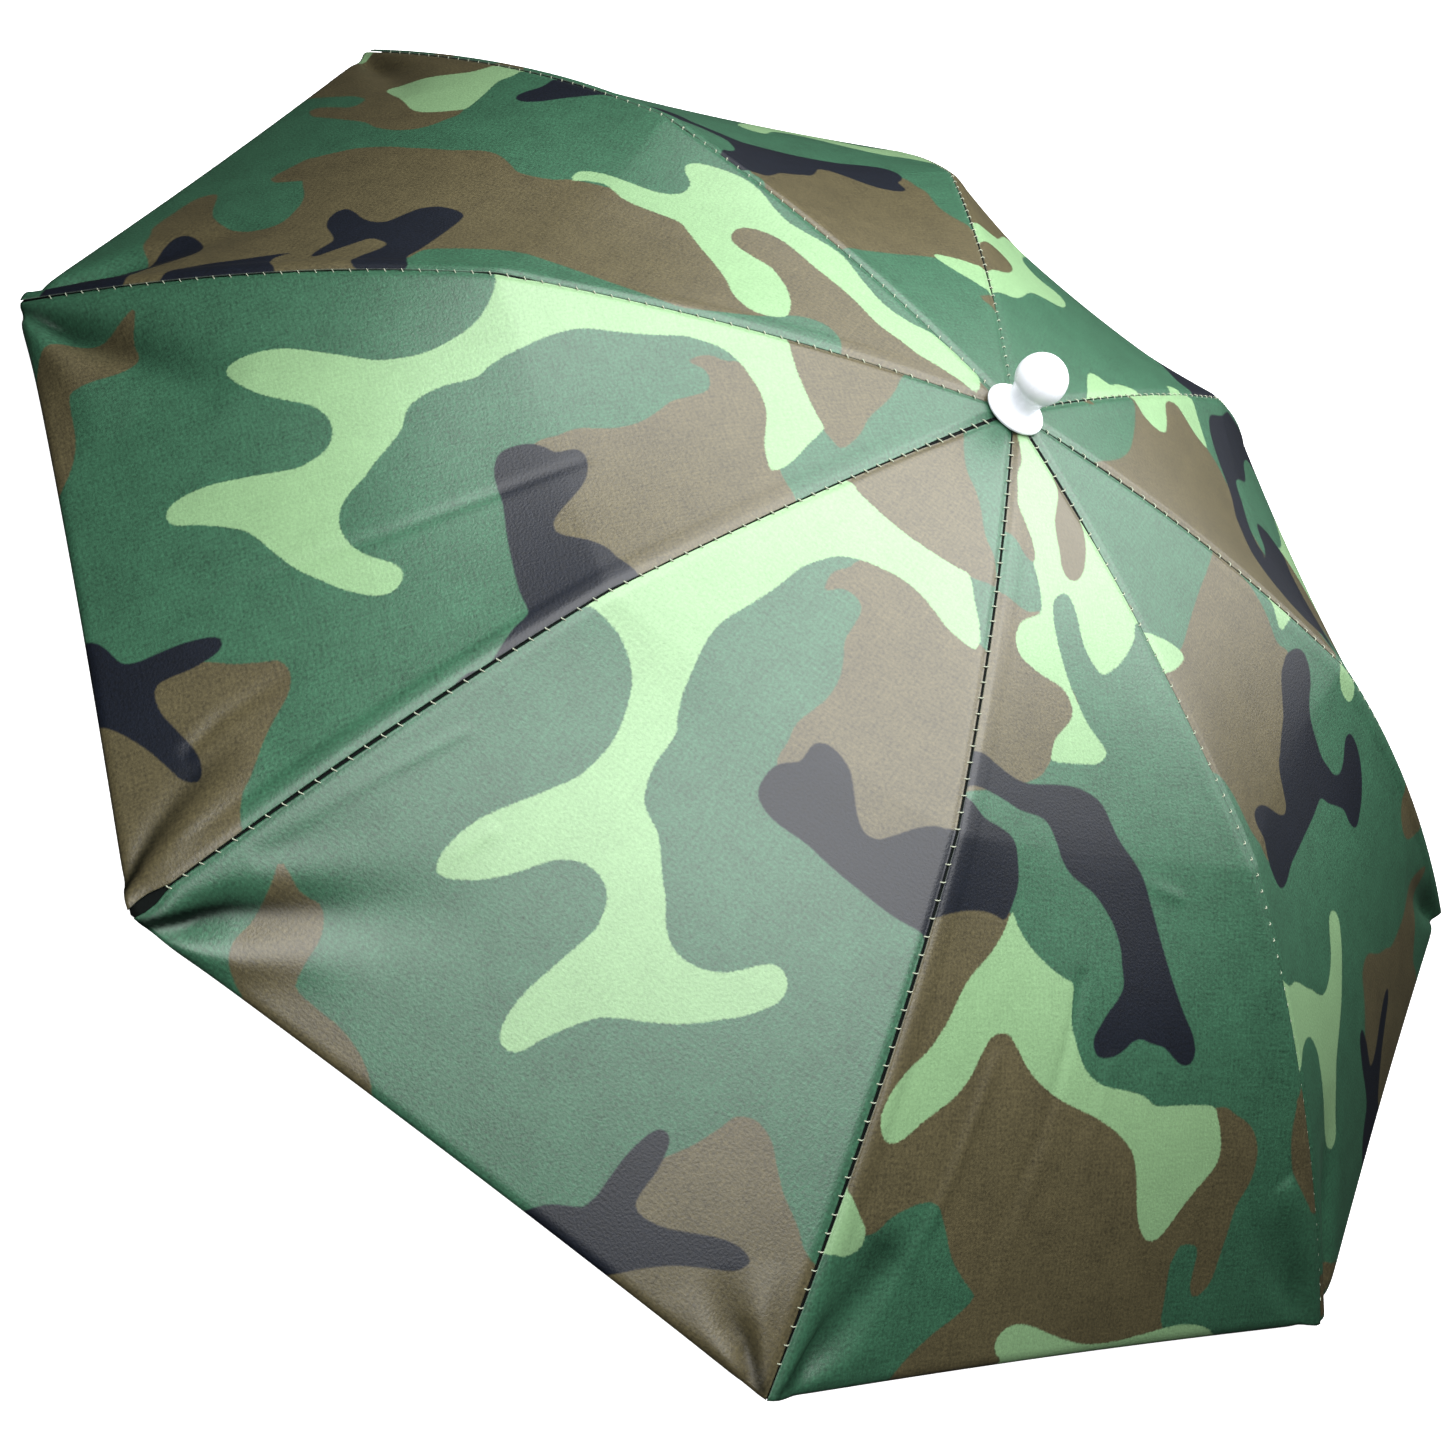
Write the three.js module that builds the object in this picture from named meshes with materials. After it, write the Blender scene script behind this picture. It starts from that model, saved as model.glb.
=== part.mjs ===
// An umbrella hat: eight cloth gores sewn over eight bent ribs, a cap with a round
// knob on the crown, and a head band that four wire legs hang from the hub.
// Millimetres, +Z up. The origin is on the surface that the rib ends stand on, under
// the middle of the hat. The front, where the first look falls, is -Y.
import * as THREE from "three";

// Canopy sizes, measured on the outside of the cloth.
const GORES = 8;
const SECTOR = (2 * Math.PI) / GORES;
const FIRST_RIB_ANGLE = THREE.MathUtils.degToRad(202.5);
const CROWN_HEIGHT = 149;
const CORNER_HEIGHT = 6;
const CLOTH = 1;
const SEAM_GAP = 0.3;
const CENTRE_HOLE_RADIUS = 5;
const UPPER_ARCH = 5.2;
const LOWER_ARCH = 7;
const SAG_AT_KNEES = 7.8;
const SAG_SPREAD = 0.32;
const SAG_BELOW_KNEES = 1.6;
const LOWER_SAG_START = 0.9;
const HEM_HOLLOW = 1.3;
const HEM_HOLLOW_START = 1.2;
const SLOPE_REACH = 0.03;
const FOLD_FADE = 8;

// Frame sizes.
const RIB_RADIUS = 1.4;
const RIB_DEPTH = 3;
const RIB_SIDES = 8;
const RIB_STEPS = 15;
const HUB_RADIUS = 13;
const HUB_BORE_RADIUS = 4.6;
const HUB_BOTTOM = 134;
const HUB_EDGE = 1;
const HUB_RIM_TOP = CROWN_HEIGHT - 2.9;
const HUB_BORE_TOP = CROWN_HEIGHT - 2.1;
const RIB_START_RADIUS = HUB_RADIUS + 0.8;
const FIT = 0.3;
const FOOT_RADIUS = 1.9;
const FOOT_HEIGHT = 5.1;
const FOOT_EDGE = 0.6;
const FOOT_SHOULDER = 1.6;
const FOOT_INSET = 0.9;
const POST_RADIUS = 4.2;
const POST_BOTTOM = 137;
const FLANGE_RADIUS = 11.6;
const NECK_RADIUS = 6.3;
const KNOB_RADIUS = 9.6;
const KNOB_HEIGHT = CROWN_HEIGHT + 16.5;
const KNOB_STEPS = 9;

// The cap's outline from the foot of its post to the top of its neck. Rise counts from
// the crown.
const CAP_PROFILE = [
  { radius: 0, rise: POST_BOTTOM - CROWN_HEIGHT },
  { radius: POST_RADIUS - 0.8, rise: POST_BOTTOM - CROWN_HEIGHT },
  { radius: POST_RADIUS, rise: POST_BOTTOM - CROWN_HEIGHT + 0.8 },
  { radius: POST_RADIUS, rise: 0.1 },
  { radius: FLANGE_RADIUS - 0.3, rise: -0.7 },
  { radius: FLANGE_RADIUS, rise: -0.1 },
  { radius: FLANGE_RADIUS - 0.2, rise: 0.9 },
  { radius: FLANGE_RADIUS - 1.1, rise: 1.3 },
  { radius: NECK_RADIUS + 2, rise: 1.7 },
  { radius: NECK_RADIUS + 0.4, rise: 2.8 },
  { radius: NECK_RADIUS, rise: 4.5 },
];

// Head band: an upright oval ring, longer from front to back.
const BAND_HALF_WIDTH = 76;
const BAND_HALF_LENGTH = 93;
const BAND_WALL = 2;
const BAND_BOTTOM = 14;
const BAND_HEIGHT = 28;
const LEG_RADIUS = 1.5;
const LEG_FIT = 0.5;
const LEG_FOOT = 16;
const LEG_UPRIGHT = 18;
const LEG_START_RISE = 4;
const LEG_STEPS = 22;

// Where a leg bends over the head. Rise counts from the hub's underside.
const LEG_SHOULDER = [
  { radius: 30, rise: 3 },
  { radius: 55, rise: -4 },
  { radius: 74, rise: -22 },
];

// One row for each rib. Radius and height place the knee, where the rib folds, and
// turn is in degrees from the rib's even place round the crown.
const RIBS = [
  { kneeRadius: 185.4, kneeHeight: 106.8, kneeTurn: 0.1, tipRadius: 325.0, tipTurn: 0.2 },
  { kneeRadius: 185.7, kneeHeight: 108.7, kneeTurn: 0.3, tipRadius: 326.6, tipTurn: 0.1 },
  { kneeRadius: 186.7, kneeHeight: 110.4, kneeTurn: 0.7, tipRadius: 325.0, tipTurn: 0.0 },
  { kneeRadius: 185.4, kneeHeight: 108.4, kneeTurn: -1.0, tipRadius: 325.0, tipTurn: 0.0 },
  { kneeRadius: 184.4, kneeHeight: 108.1, kneeTurn: -0.1, tipRadius: 324.0, tipTurn: 0.6 },
  { kneeRadius: 180.2, kneeHeight: 109.1, kneeTurn: -0.1, tipRadius: 322.7, tipTurn: 0.0 },
  { kneeRadius: 173.0, kneeHeight: 114.9, kneeTurn: -0.6, tipRadius: 324.3, tipTurn: -0.2 },
  { kneeRadius: 183.8, kneeHeight: 111.3, kneeTurn: -0.4, tipRadius: 326.6, tipTurn: 0.3 },
];

// Tension folds. Each runs over its gore from a rib tip: from is 0 for the gore's own
// rib and 1 for the next. It ends at across, a share of the gore's width there, and
// down, which counts 1 at the knees and 2 at the hem. A negative rise is a valley.
const FOLDS = [
  { gore: 7, from: 1, across: 0.57, down: 1.42, rise: -6.5, width: 17 },
  { gore: 7, from: 1, across: 0.55, down: 1.8, rise: 4, width: 15 },
  { gore: 7, from: 0, across: 0.22, down: 1.72, rise: -4, width: 14 },
  { gore: 8, from: 1, across: 0.66, down: 1.5, rise: -6.5, width: 17 },
  { gore: 8, from: 1, across: 0.6, down: 1.84, rise: 4, width: 14 },
  { gore: 8, from: 0, across: 0.22, down: 1.62, rise: 4, width: 13 },
  { gore: 8, from: 0, across: 0.3, down: 1.86, rise: -4, width: 13 },
  { gore: 6, from: 1, across: 0.72, down: 1.6, rise: -4, width: 14 },
  { gore: 6, from: 0, across: 0.25, down: 1.75, rise: 3.5, width: 14 },
  { gore: 5, from: 1, across: 0.75, down: 1.6, rise: -4, width: 14 },
  { gore: 1, from: 0, across: 0.3, down: 1.6, rise: -4, width: 14 },
  { gore: 1, from: 1, across: 0.75, down: 1.7, rise: -4, width: 14 },
  { gore: 2, from: 0, across: 0.28, down: 1.65, rise: -4, width: 14 },
  { gore: 3, from: 1, across: 0.72, down: 1.6, rise: -4, width: 14 },
  { gore: 4, from: 0, across: 0.28, down: 1.6, rise: -4, width: 14 },
];

// Mesh rows of a gore, as places down the seam, and columns, as shares across it.
const GORE_ROWS = [0.13, 0.3, 0.48, 0.66, 0.82, 0.93, 1, 1.07, 1.18, 1.31, 1.44, 1.57, 1.7, 1.81, 1.91, 2];
const GORE_COLUMNS = [0, 0.08, 0.19, 0.31, 0.43, 0.5, 0.57, 0.69, 0.81, 0.92, 1];

const cloth = new THREE.MeshStandardMaterial({ color: 0x5f8a6b, roughness: 0.75, metalness: 0 });
const whitePlastic = new THREE.MeshStandardMaterial({ color: 0xf2f3f8, roughness: 0.3, metalness: 0 });
const darkPlastic = new THREE.MeshStandardMaterial({ color: 0x1e2022, roughness: 0.5, metalness: 0 });
const steel = new THREE.MeshStandardMaterial({ color: 0xb4b8bc, roughness: 0.35, metalness: 1 });
const elastic = new THREE.MeshStandardMaterial({ color: 0x1c1d20, roughness: 0.9, metalness: 0 });

const hat = new THREE.Group();
hat.name = "umbrella_hat";

function addPiece(name, geometry, material) {
  const piece = new THREE.Mesh(geometry, material);
  piece.name = name;
  hat.add(piece);
  return piece;
}

function arch(share) {
  return 4 * share * (1 - share);
}

// Radius and height on the outside of the cloth over a rib. Down runs from 0 at the
// crown through 1 at the knee to 2 at the tip.
function seamProfile(rib, down) {
  if (down <= 1) {
    const height = THREE.MathUtils.lerp(CROWN_HEIGHT, rib.kneeHeight, down) + UPPER_ARCH * arch(down);
    return new THREE.Vector2(rib.kneeRadius * down, height);
  }
  const share = down - 1;
  const radius = THREE.MathUtils.lerp(rib.kneeRadius, rib.tipRadius, share);
  const height = THREE.MathUtils.lerp(rib.kneeHeight, CORNER_HEIGHT, share);
  return new THREE.Vector2(radius, height + LOWER_ARCH * arch(share));
}

// The same line sunk by depth, square to the slope.
function sunkProfile(rib, down, depth) {
  const before = seamProfile(rib, Math.max(down - SLOPE_REACH, 0));
  const after = seamProfile(rib, Math.min(down + SLOPE_REACH, 2));
  const slope = after.sub(before).normalize();
  return seamProfile(rib, down).add(new THREE.Vector2(slope.y, -slope.x).multiplyScalar(depth));
}

function ribAngle(number, turn) {
  return FIRST_RIB_ANGLE - (number - 1) * SECTOR + THREE.MathUtils.degToRad(turn);
}

function seamPoint(number, down, depth) {
  const rib = RIBS[number - 1];
  const share = Math.max(down - 1, 0);
  const profile = sunkProfile(rib, down, depth);
  const turn = THREE.MathUtils.lerp(rib.kneeTurn, rib.tipTurn, share);
  const angle = ribAngle(number, turn);
  return new THREE.Vector3(profile.x * Math.cos(angle), profile.x * Math.sin(angle), profile.y);
}

function nextRib(number) {
  return (number % GORES) + 1;
}

// How far down lies between a start and the hem, from 0 to 1.
function shareFrom(start, down) {
  return THREE.MathUtils.clamp((down - start) / (2 - start), 0, 1);
}

// How far the cloth lies inside the straight line from seam to seam.
function sagDepth(down) {
  const atKnees = Math.exp(-(((down - 1) / SAG_SPREAD) ** 2));
  const below = Math.sin(Math.PI * shareFrom(LOWER_SAG_START, down));
  return SAG_AT_KNEES * atKnees + SAG_BELOW_KNEES * below;
}

// A gore's face without folds. Depth 0 is its outside and CLOTH its inside.
function tautPoint(gore, across, down, depth) {
  const left = seamPoint(gore, down, depth);
  const right = seamPoint(nextRib(gore), down, depth);
  const width = left.distanceTo(right);
  const margin = SEAM_GAP / 2 / width;
  const share = THREE.MathUtils.lerp(margin, 1 - margin, across);
  const belly = Math.sin(Math.PI * across);
  const middle = left.clone().add(right).multiplyScalar(0.5);
  const outward = new THREE.Vector3(middle.x, middle.y, 0).normalize();
  const hem = shareFrom(HEM_HOLLOW_START, down) ** 2;
  return left
    .lerp(right, share)
    .addScaledVector(goreNormal(gore, down), -sagDepth(down) * belly)
    .addScaledVector(outward, -HEM_HOLLOW * hem * belly);
}

// Outward direction, square to the gore's middle line.
function goreNormal(gore, down) {
  const left = seamPoint(gore, down, 0);
  const right = seamPoint(nextRib(gore), down, 0);
  const upper = Math.max(down - 2 * SLOPE_REACH, 0);
  const lower = Math.min(down + 2 * SLOPE_REACH, 2);
  const before = seamPoint(gore, upper, 0).add(seamPoint(nextRib(gore), upper, 0));
  const after = seamPoint(gore, lower, 0).add(seamPoint(nextRib(gore), lower, 0));
  const along = after.sub(before);
  return along.cross(left.sub(right)).normalize();
}

// Rise of the gore's folds at a point of its taut face.
function foldRise(gore, point, across) {
  let rise = 0;
  for (const fold of FOLDS.filter((row) => row.gore === gore)) {
    const tip = tautPoint(gore, fold.from, 2, 0);
    const end = tautPoint(gore, fold.across, fold.down, 0);
    const line = end.clone().sub(tip);
    const share = point.clone().sub(tip).dot(line) / line.lengthSq();
    if (share <= 0 || share >= 1) continue;
    const offset = point.distanceTo(tip.clone().addScaledVector(line, share));
    const spread = fold.width * (0.3 + 0.7 * share);
    rise += fold.rise * Math.exp(-((offset / spread) ** 2)) * Math.sin(Math.PI * share ** 0.6);
  }
  return rise * Math.min(1, FOLD_FADE * across, FOLD_FADE * (1 - across));
}

function clothPoint(gore, across, down, depth) {
  const outside = tautPoint(gore, across, down, 0);
  const rise = foldRise(gore, outside, across);
  return tautPoint(gore, across, down, depth).addScaledVector(goreNormal(gore, down), rise);
}

// A closed wall: the outside and inside grids, joined round the four edges.
function goreGeometry(gore) {
  const positions = [];
  const columns = GORE_COLUMNS.length;
  const rows = [CENTRE_HOLE_RADIUS / RIBS[gore - 1].kneeRadius, ...GORE_ROWS];
  for (const depth of [0, CLOTH]) {
    for (const down of rows) {
      for (const across of GORE_COLUMNS) {
        positions.push(...clothPoint(gore, across, down, depth).toArray());
      }
    }
  }
  const faces = [];
  const inside = rows.length * columns;
  const at = (row, column) => row * columns + column;
  const quad = (a, b, c, d) => faces.push(a, b, c, a, c, d);
  for (let row = 0; row < rows.length - 1; row += 1) {
    for (let column = 0; column < columns - 1; column += 1) {
      const a = at(row, column);
      const b = at(row, column + 1);
      const c = at(row + 1, column + 1);
      const d = at(row + 1, column);
      quad(a, b, c, d);
      quad(d + inside, c + inside, b + inside, a + inside);
    }
  }
  const rim = [];
  for (let column = 0; column < columns; column += 1) rim.push(at(0, column));
  for (let row = 1; row < rows.length; row += 1) rim.push(at(row, columns - 1));
  for (let column = columns - 2; column >= 0; column -= 1) rim.push(at(rows.length - 1, column));
  for (let row = rows.length - 2; row > 0; row -= 1) rim.push(at(row, 0));
  rim.forEach((from, index) => {
    const to = rim[(index + 1) % rim.length];
    quad(from, from + inside, to + inside, to);
  });
  const geometry = new THREE.BufferGeometry();
  geometry.setAttribute("position", new THREE.Float32BufferAttribute(positions, 3));
  geometry.setIndex(faces);
  geometry.computeVertexNormals();
  return geometry;
}

// A plain round section.
function roundSection(radius, sides) {
  const corners = [];
  for (let side = 0; side < sides; side += 1) {
    const angle = ((side + 0.5) / sides) * 2 * Math.PI;
    corners.push(new THREE.Vector2(radius * Math.cos(angle), radius * Math.sin(angle)));
  }
  return new THREE.Shape(corners);
}

// The centre line of a rib, from the hub's side to the foot at its tip.
class RibLine extends THREE.Curve {
  constructor(number) {
    super();
    const rib = RIBS[number - 1];
    this.number = number;
    this.start = RIB_START_RADIUS / rib.kneeRadius;
    this.end = 2 - (RIB_RADIUS + FIT) / (rib.tipRadius - rib.kneeRadius);
  }

  getPoint(share) {
    return seamPoint(this.number, THREE.MathUtils.lerp(this.start, this.end, share), RIB_DEPTH);
  }

  // Equal steps down the rib rather than equal lengths, so that one falls near the knee.
  getPointAt(share) {
    return this.getPoint(share);
  }

  getTangentAt(share) {
    return this.getTangent(share);
  }
}

function ribGeometry(number) {
  const section = roundSection(RIB_RADIUS, RIB_SIDES);
  return new THREE.ExtrudeGeometry(section, { steps: RIB_STEPS, extrudePath: new RibLine(number) });
}

// The plastic end that a rib stands on, with a flat sole.
function footGeometry() {
  const profile = [
    new THREE.Vector2(0, 0),
    new THREE.Vector2(FOOT_RADIUS - FOOT_EDGE, 0),
    new THREE.Vector2(FOOT_RADIUS, FOOT_EDGE),
    new THREE.Vector2(FOOT_RADIUS, FOOT_HEIGHT - FOOT_SHOULDER),
    new THREE.Vector2(FOOT_RADIUS / 2, FOOT_HEIGHT - FOOT_SHOULDER / 4),
    new THREE.Vector2(0, FOOT_HEIGHT),
  ];
  return new THREE.LatheGeometry(profile, 12).rotateX(Math.PI / 2);
}

// The hub under the crown: a short ring with a sloping top, bored for the cap's post.
function hubGeometry() {
  const profile = [
    new THREE.Vector2(HUB_BORE_RADIUS, HUB_BOTTOM),
    new THREE.Vector2(HUB_RADIUS - HUB_EDGE, HUB_BOTTOM),
    new THREE.Vector2(HUB_RADIUS, HUB_BOTTOM + HUB_EDGE),
    new THREE.Vector2(HUB_RADIUS, HUB_RIM_TOP),
    new THREE.Vector2(HUB_BORE_RADIUS, HUB_BORE_TOP),
    new THREE.Vector2(HUB_BORE_RADIUS, HUB_BOTTOM),
  ];
  return new THREE.LatheGeometry(profile, 32).rotateX(Math.PI / 2);
}

// The cap: post, dished flange, neck and round knob, moulded as one.
function capGeometry() {
  const profile = CAP_PROFILE.map((row) => new THREE.Vector2(row.radius, CROWN_HEIGHT + row.rise));
  const firstAngle = -Math.acos(NECK_RADIUS / KNOB_RADIUS);
  for (let step = 0; step <= KNOB_STEPS; step += 1) {
    const angle = THREE.MathUtils.lerp(firstAngle, Math.PI / 2, step / KNOB_STEPS);
    const radius = step === KNOB_STEPS ? 0 : KNOB_RADIUS * Math.cos(angle);
    profile.push(new THREE.Vector2(radius, KNOB_HEIGHT + KNOB_RADIUS * Math.sin(angle)));
  }
  return new THREE.LatheGeometry(profile, 28).rotateX(Math.PI / 2);
}

// The elastic head band, an oval ring standing on edge.
function bandGeometry() {
  const outline = new THREE.Shape();
  outline.absellipse(0, 0, BAND_HALF_WIDTH + BAND_WALL, BAND_HALF_LENGTH + BAND_WALL, 0, 2 * Math.PI);
  const opening = new THREE.Path();
  opening.absellipse(0, 0, BAND_HALF_WIDTH, BAND_HALF_LENGTH, 0, 2 * Math.PI);
  outline.holes.push(opening);
  const settings = { depth: BAND_HEIGHT, bevelEnabled: false, curveSegments: 48 };
  return new THREE.ExtrudeGeometry(outline, settings).translate(0, 0, BAND_BOTTOM);
}

// A wire leg, from the hub's side over the head and down the outside of the band.
function legGeometry(angle) {
  const outerWidth = BAND_HALF_WIDTH + BAND_WALL;
  const outerLength = BAND_HALF_LENGTH + BAND_WALL;
  const bandRadius = 1 / Math.hypot(Math.cos(angle) / outerWidth, Math.sin(angle) / outerLength);
  const footRadius = bandRadius + LEG_RADIUS + LEG_FIT;
  const bandTop = BAND_BOTTOM + BAND_HEIGHT;
  const shoulder = LEG_SHOULDER.map((row) => ({ radius: row.radius, height: HUB_BOTTOM + row.rise }));
  const route = [
    { radius: HUB_RADIUS + FIT, height: HUB_BOTTOM + LEG_START_RISE },
    ...shoulder,
    { radius: footRadius - 1, height: (HUB_BOTTOM + bandTop) / 2 },
    { radius: footRadius, height: bandTop + LEG_UPRIGHT },
    { radius: footRadius, height: bandTop },
    { radius: footRadius, height: LEG_FOOT },
  ];
  const points = route.map(
    (row) => new THREE.Vector3(row.radius * Math.cos(angle), row.radius * Math.sin(angle), row.height),
  );
  const line = new THREE.CatmullRomCurve3(points, false, "centripetal");
  return new THREE.ExtrudeGeometry(roundSection(LEG_RADIUS, 6), { steps: LEG_STEPS, extrudePath: line });
}

for (let number = 1; number <= GORES; number += 1) {
  addPiece(`canopy_gore_${number}`, goreGeometry(number), cloth);
}
for (let number = 1; number <= GORES; number += 1) {
  addPiece(`rib_${number}`, ribGeometry(number), steel);
}
for (let number = 1; number <= GORES; number += 1) {
  const rib = RIBS[number - 1];
  const angle = ribAngle(number, rib.tipTurn);
  const radius = rib.tipRadius - FOOT_INSET;
  const foot = addPiece(`rib_foot_${number}`, footGeometry(), darkPlastic);
  foot.position.set(radius * Math.cos(angle), radius * Math.sin(angle), 0);
  foot.rotation.z = angle;
}
addPiece("hub", hubGeometry(), darkPlastic);
addPiece("cap", capGeometry(), whitePlastic);
addPiece("head_band", bandGeometry(), elastic);
for (let number = 1; number <= 4; number += 1) {
  const angle = ((2 * number - 1) * Math.PI) / 4;
  addPiece(`band_leg_${number}`, legGeometry(angle), steel);
}

export default hat;
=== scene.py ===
import math

import bpy
import numpy as np
from mathutils import Matrix, Vector


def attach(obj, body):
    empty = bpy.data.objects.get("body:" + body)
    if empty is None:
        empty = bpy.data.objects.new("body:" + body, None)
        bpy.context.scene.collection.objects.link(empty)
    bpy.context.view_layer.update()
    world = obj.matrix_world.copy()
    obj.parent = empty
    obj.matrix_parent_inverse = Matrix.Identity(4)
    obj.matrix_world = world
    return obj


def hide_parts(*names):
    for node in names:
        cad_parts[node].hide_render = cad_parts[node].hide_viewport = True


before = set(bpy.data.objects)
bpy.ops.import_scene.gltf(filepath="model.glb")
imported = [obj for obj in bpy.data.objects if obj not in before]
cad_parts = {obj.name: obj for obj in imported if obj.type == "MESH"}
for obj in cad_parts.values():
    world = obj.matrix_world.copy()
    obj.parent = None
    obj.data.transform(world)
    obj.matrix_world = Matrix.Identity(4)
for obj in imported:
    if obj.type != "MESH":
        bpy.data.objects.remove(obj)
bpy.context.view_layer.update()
scene = bpy.context.scene

# Camera: 0.95 m away, looking down on the crown from in front at 43 degrees, and
# turned 41 degrees about its own axis. Its distances count in half a canopy's width.
MM = 0.001
PHOTO_SIDE = 1451
VIEW_UNIT = 0.325
VIEW_AZIMUTH = math.radians(-4.35)
VIEW_ELEVATION = 0.7459
VIEW_ROLL = 0.7222
VIEW_DISTANCE = 2.9356
VIEW_SIDE = -0.0947
VIEW_RISE = -0.1161
VIEW_BASE = 6 * MM
SENSOR = 36
FOCAL_PIXELS = 2396.6
SHIFT_PIXELS = (-9.4, 10.0)

camera_data = bpy.data.cameras.new("camera")
camera_data.sensor_width = SENSOR
camera_data.lens = FOCAL_PIXELS / PHOTO_SIDE * SENSOR
camera_data.shift_x = SHIFT_PIXELS[0] / PHOTO_SIDE
camera_data.shift_y = SHIFT_PIXELS[1] / PHOTO_SIDE
camera_data.clip_start = 0.05
camera_data.clip_end = 50
back = Vector((0, -math.cos(VIEW_ELEVATION), math.sin(VIEW_ELEVATION)))
level = Vector((1, 0, 0))
upright = Vector((0, math.sin(VIEW_ELEVATION), math.cos(VIEW_ELEVATION)))
right = level * math.cos(VIEW_ROLL) + upright * math.sin(VIEW_ROLL)
up = upright * math.cos(VIEW_ROLL) - level * math.sin(VIEW_ROLL)
place = (back * VIEW_DISTANCE + right * VIEW_SIDE + up * VIEW_RISE) * VIEW_UNIT
camera = bpy.data.objects.new("camera", camera_data)
scene.collection.objects.link(camera)
turn = Matrix.Rotation(VIEW_AZIMUTH, 4, "Z")
axes = Matrix((right, up, back)).transposed().to_4x4()
base = Matrix.Translation((0, 0, VIEW_BASE))
camera.matrix_world = base @ turn @ Matrix.Translation(place) @ axes
scene.camera = camera

# Floor and light: a plain white sweep that is lit evenly from behind, and throws no
# light back on the hat. Behind it all is white as well. A long soft lamp hangs close
# above the hat, a little to its front, and a small one at its back.
scene.view_settings.view_transform = "Standard"
world = bpy.data.worlds.new("surround")
scene.world = world
world.use_nodes = True
SURROUND_GLOW = 0.03
surround = world.node_tree.nodes["Background"]
surround.inputs["Color"].default_value = (1.0, 1.0, 1.0, 1)
seen = world.node_tree.nodes.new("ShaderNodeLightPath")
glow = world.node_tree.nodes.new("ShaderNodeMath")
glow.operation = "MAXIMUM"
glow.inputs[1].default_value = SURROUND_GLOW
world.node_tree.links.new(seen.outputs["Is Camera Ray"], glow.inputs[0])
world.node_tree.links.new(glow.outputs[0], surround.inputs["Strength"])

bpy.ops.object.select_all(action="DESELECT")
FLOOR_SIDE = 14
FLOOR_DROP = 0.0002
bpy.ops.mesh.primitive_plane_add(size=FLOOR_SIDE, location=(0, 0, -FLOOR_DROP))
floor = bpy.context.object
floor.name = "floor"
floor_paint = bpy.data.materials.new("floor_paint")
floor_paint.use_nodes = True
floor_shader = floor_paint.node_tree.nodes["Principled BSDF"]
floor_shader.inputs["Base Color"].default_value = (0.93, 0.93, 0.93, 1)
floor_shader.inputs["Roughness"].default_value = 0.9
floor_shader.inputs["Specular IOR Level"].default_value = 0.1
floor_shader.inputs["Emission Color"].default_value = (1.0, 1.0, 1.0, 1)
floor_shader.inputs["Emission Strength"].default_value = 1.0
floor.data.materials.append(floor_paint)
floor.visible_diffuse = False
floor.visible_glossy = False

LAMPS = [
    {
        "name": "long_lamp",
        "at": (-0.074, -0.26, 0.38),
        "aim": (-0.034, -0.27, 0),
        "size": (0.575, 1.2),
        "power": 7.4,
        "spread": 137,
    },
    {
        "name": "small_lamp",
        "at": (0.169, 0.181, 0.349),
        "aim": (0, 0, 0.08),
        "size": (0.41, 0.41),
        "power": 1.15,
        "spread": 170,
    },
]
for row in LAMPS:
    lamp_data = bpy.data.lights.new(row["name"], "AREA")
    lamp_data.shape = "RECTANGLE"
    lamp_data.size, lamp_data.size_y = row["size"]
    lamp_data.energy = row["power"]
    lamp_data.spread = math.radians(row["spread"])
    lamp = bpy.data.objects.new(row["name"], lamp_data)
    facing = (Vector(row["at"]) - Vector(row["aim"])).normalized()
    sideways = Vector((0, 1, 0)).cross(facing).normalized()
    axes = Matrix((sideways, facing.cross(sideways), facing)).transposed().to_4x4()
    lamp.matrix_world = Matrix.Translation(row["at"]) @ axes
    scene.collection.objects.link(lamp)

# Canopy gores: eight triangles of thin printed polyester, sewn edge to edge and drawn
# tight over the ribs. Each sags a little between its two ribs, most at the knees, and
# is drawn into folds where the rib ends pull at its lower corners.
GORES = 8
SECTOR = 360 / GORES
FIRST_RIB_ANGLE = 202.5
CROWN_HEIGHT = 149
CORNER_HEIGHT = 6
CLOTH = 0.6
CENTRE_HOLE_RADIUS = 5
UPPER_ARCH = 5.2
LOWER_ARCH = 7
SAG_AT_KNEES = 7.8
SAG_SPREAD = 0.32
SAG_BELOW_KNEES = 1.6
LOWER_SAG_START = 0.9
HEM_HOLLOW = 1.3
HEM_HOLLOW_START = 1.2
SLOPE_REACH = 0.03
NORMAL_REACH = 0.06
KNEE_ROLL = 0.13
KNEE_ROLL_STEPS = 9
KNEE_ROLL_SPREAD = 0.6
KNEE_ROLL_WIDTH = 0.7
# The painted shade of a fold keeps to this share of the fold's width.
PAINTED_SHADE_SHARE = 0.7
FOLD_FRONT = 0.45

# One row for each rib: where it folds, where it ends, and its turn from an even place.
RIB_COLUMNS = ("knee_radius", "knee_height", "knee_turn", "tip_radius", "tip_turn")
RIB_ROWS = [
    (185.4, 106.8, 0.1, 325.0, 0.2),
    (185.7, 108.7, 0.3, 326.6, 0.1),
    (186.7, 110.4, 0.7, 325.0, 0.0),
    (185.4, 108.4, -1.0, 325.0, 0.0),
    (184.4, 108.1, -0.1, 324.0, 0.6),
    (180.2, 109.1, -0.1, 322.7, 0.0),
    (173.0, 114.9, -0.6, 324.3, -0.2),
    (183.8, 111.3, -0.4, 326.6, 0.3),
]
RIBS = [dict(zip(RIB_COLUMNS, row)) for row in RIB_ROWS]
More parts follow.
